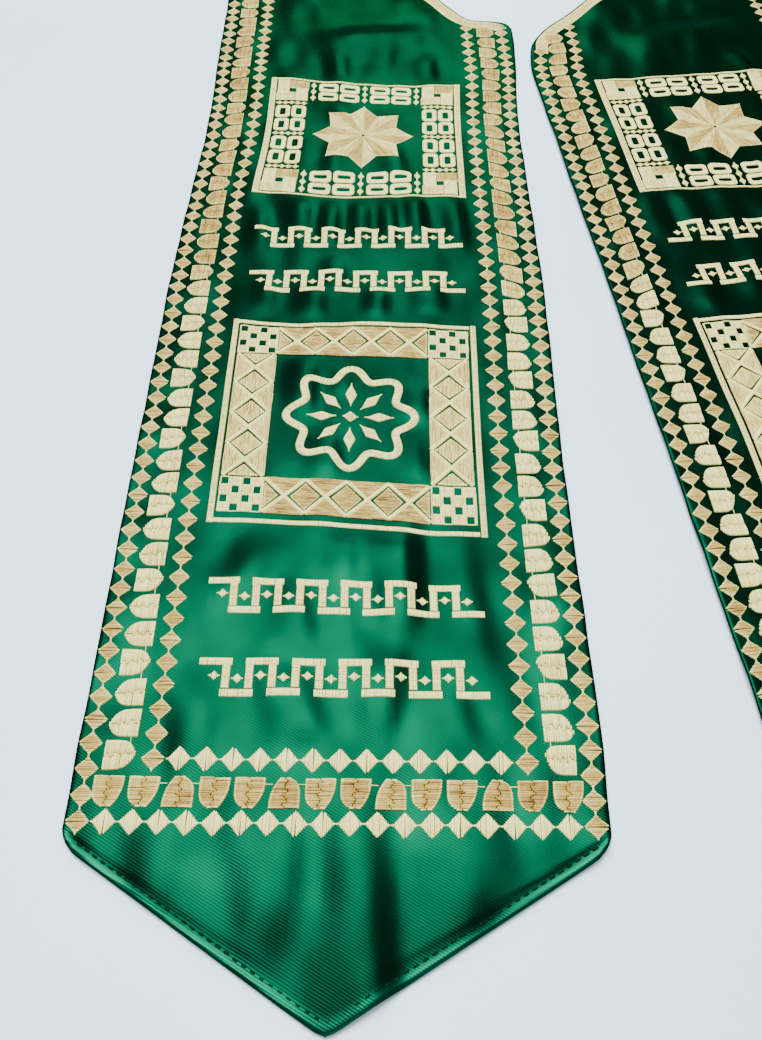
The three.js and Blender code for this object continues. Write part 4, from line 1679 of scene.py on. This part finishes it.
def table_material(groups):
    """A smooth pale board with faint patches."""
    material, graph, shader = new_material("table_white", {"Roughness": TABLE_ROUGHNESS})
    patches = placed_group(graph, groups["soft_patches"], {"Per metre": TABLE_PATCHES})
    white = graph.mix(patches["Mask"], TABLE_WHITE, TABLE_SHADE)
    graph.tree.links.new(white, shader.inputs["Base Color"])
    return material


# The table and the light


Lamp = namedtuple("Lamp", "name x y z width height energy")
LAMPS = (
    Lamp("window", -0.25, 0.42, 1.9, 1.3, 1.2, 107),
    Lamp("far_window", 0.05, 1.6, 1.15, 0.6, 0.8, 16),
    Lamp("front_fill", 0.1, -1.9, 1.0, 1.8, 0.9, 16),
)
TABLE_SIZE = 4
TABLE_LEVEL = -0.0003
LAMP_AIM = Vector((-0.09, -0.12, 0.0))
LAMP_COLOUR = (0.91, 0.98, 1.0)
SKY_COLOUR = (0.93, 0.95, 1.0, 1.0)
SKY_STRENGTH = 0.53


def make_stage(groups):
    """A pale table under the sash, windows above, beyond and before it, and a soft sky."""
    bpy.ops.mesh.primitive_plane_add(size=TABLE_SIZE, location=(0, 0, TABLE_LEVEL))
    table = bpy.context.object
    table.name = "table"
    table.data.materials.append(table_material(groups))
    world = bpy.data.worlds.new("sky")
    world.use_nodes = True
    world.node_tree.nodes["Background"].inputs["Color"].default_value = SKY_COLOUR
    world.node_tree.nodes["Background"].inputs["Strength"].default_value = SKY_STRENGTH
    bpy.context.scene.world = world
    for lamp in LAMPS:
        light = bpy.data.lights.new(lamp.name, "AREA")
        light.shape = "RECTANGLE"
        light.size, light.size_y = lamp.width, lamp.height
        light.energy = lamp.energy
        light.color = LAMP_COLOUR
        placed = bpy.data.objects.new(lamp.name, light)
        placed.location = (lamp.x, lamp.y, lamp.z)
        placed.rotation_euler = (placed.location - LAMP_AIM).to_track_quat("Z", "Y").to_euler()
        placed.visible_camera = False
        bpy.context.scene.collection.objects.link(placed)


groups = {
    "twill": twill_group(),
    "soft_patches": soft_patches_group(),
    "fibres": fibres_group(),
    "painted_end_highlight": end_highlight_group(),
}
make_stage(groups)
satin = satin_material(groups)
gold = thread_material(groups, "gold_thread", (SHADOW_BROWN_THREAD, TAN_THREAD, SHEEN_CREAM_THREAD), GOLD_GLOSS)
green = thread_material(groups, "green_thread", (HEM_GREEN, HEM_GREEN, SATIN_SHADE), HEM_GLOSS)
for side in SIDES:
    cloth, area, size = cloth_piece(side)
    cloth.data.materials.append(satin)
    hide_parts(f"{side}_cloth_half")
    hem = hem_piece(side)
    hem.data.materials.append(green)
    stitched = border_pieces(side) + frame_pieces(side) + meander_pieces(side) + [trim_piece(side)]
    for piece in stitched:
        piece.data.materials.append(gold)

seam = seam_piece()
seam.data.materials.append(green)
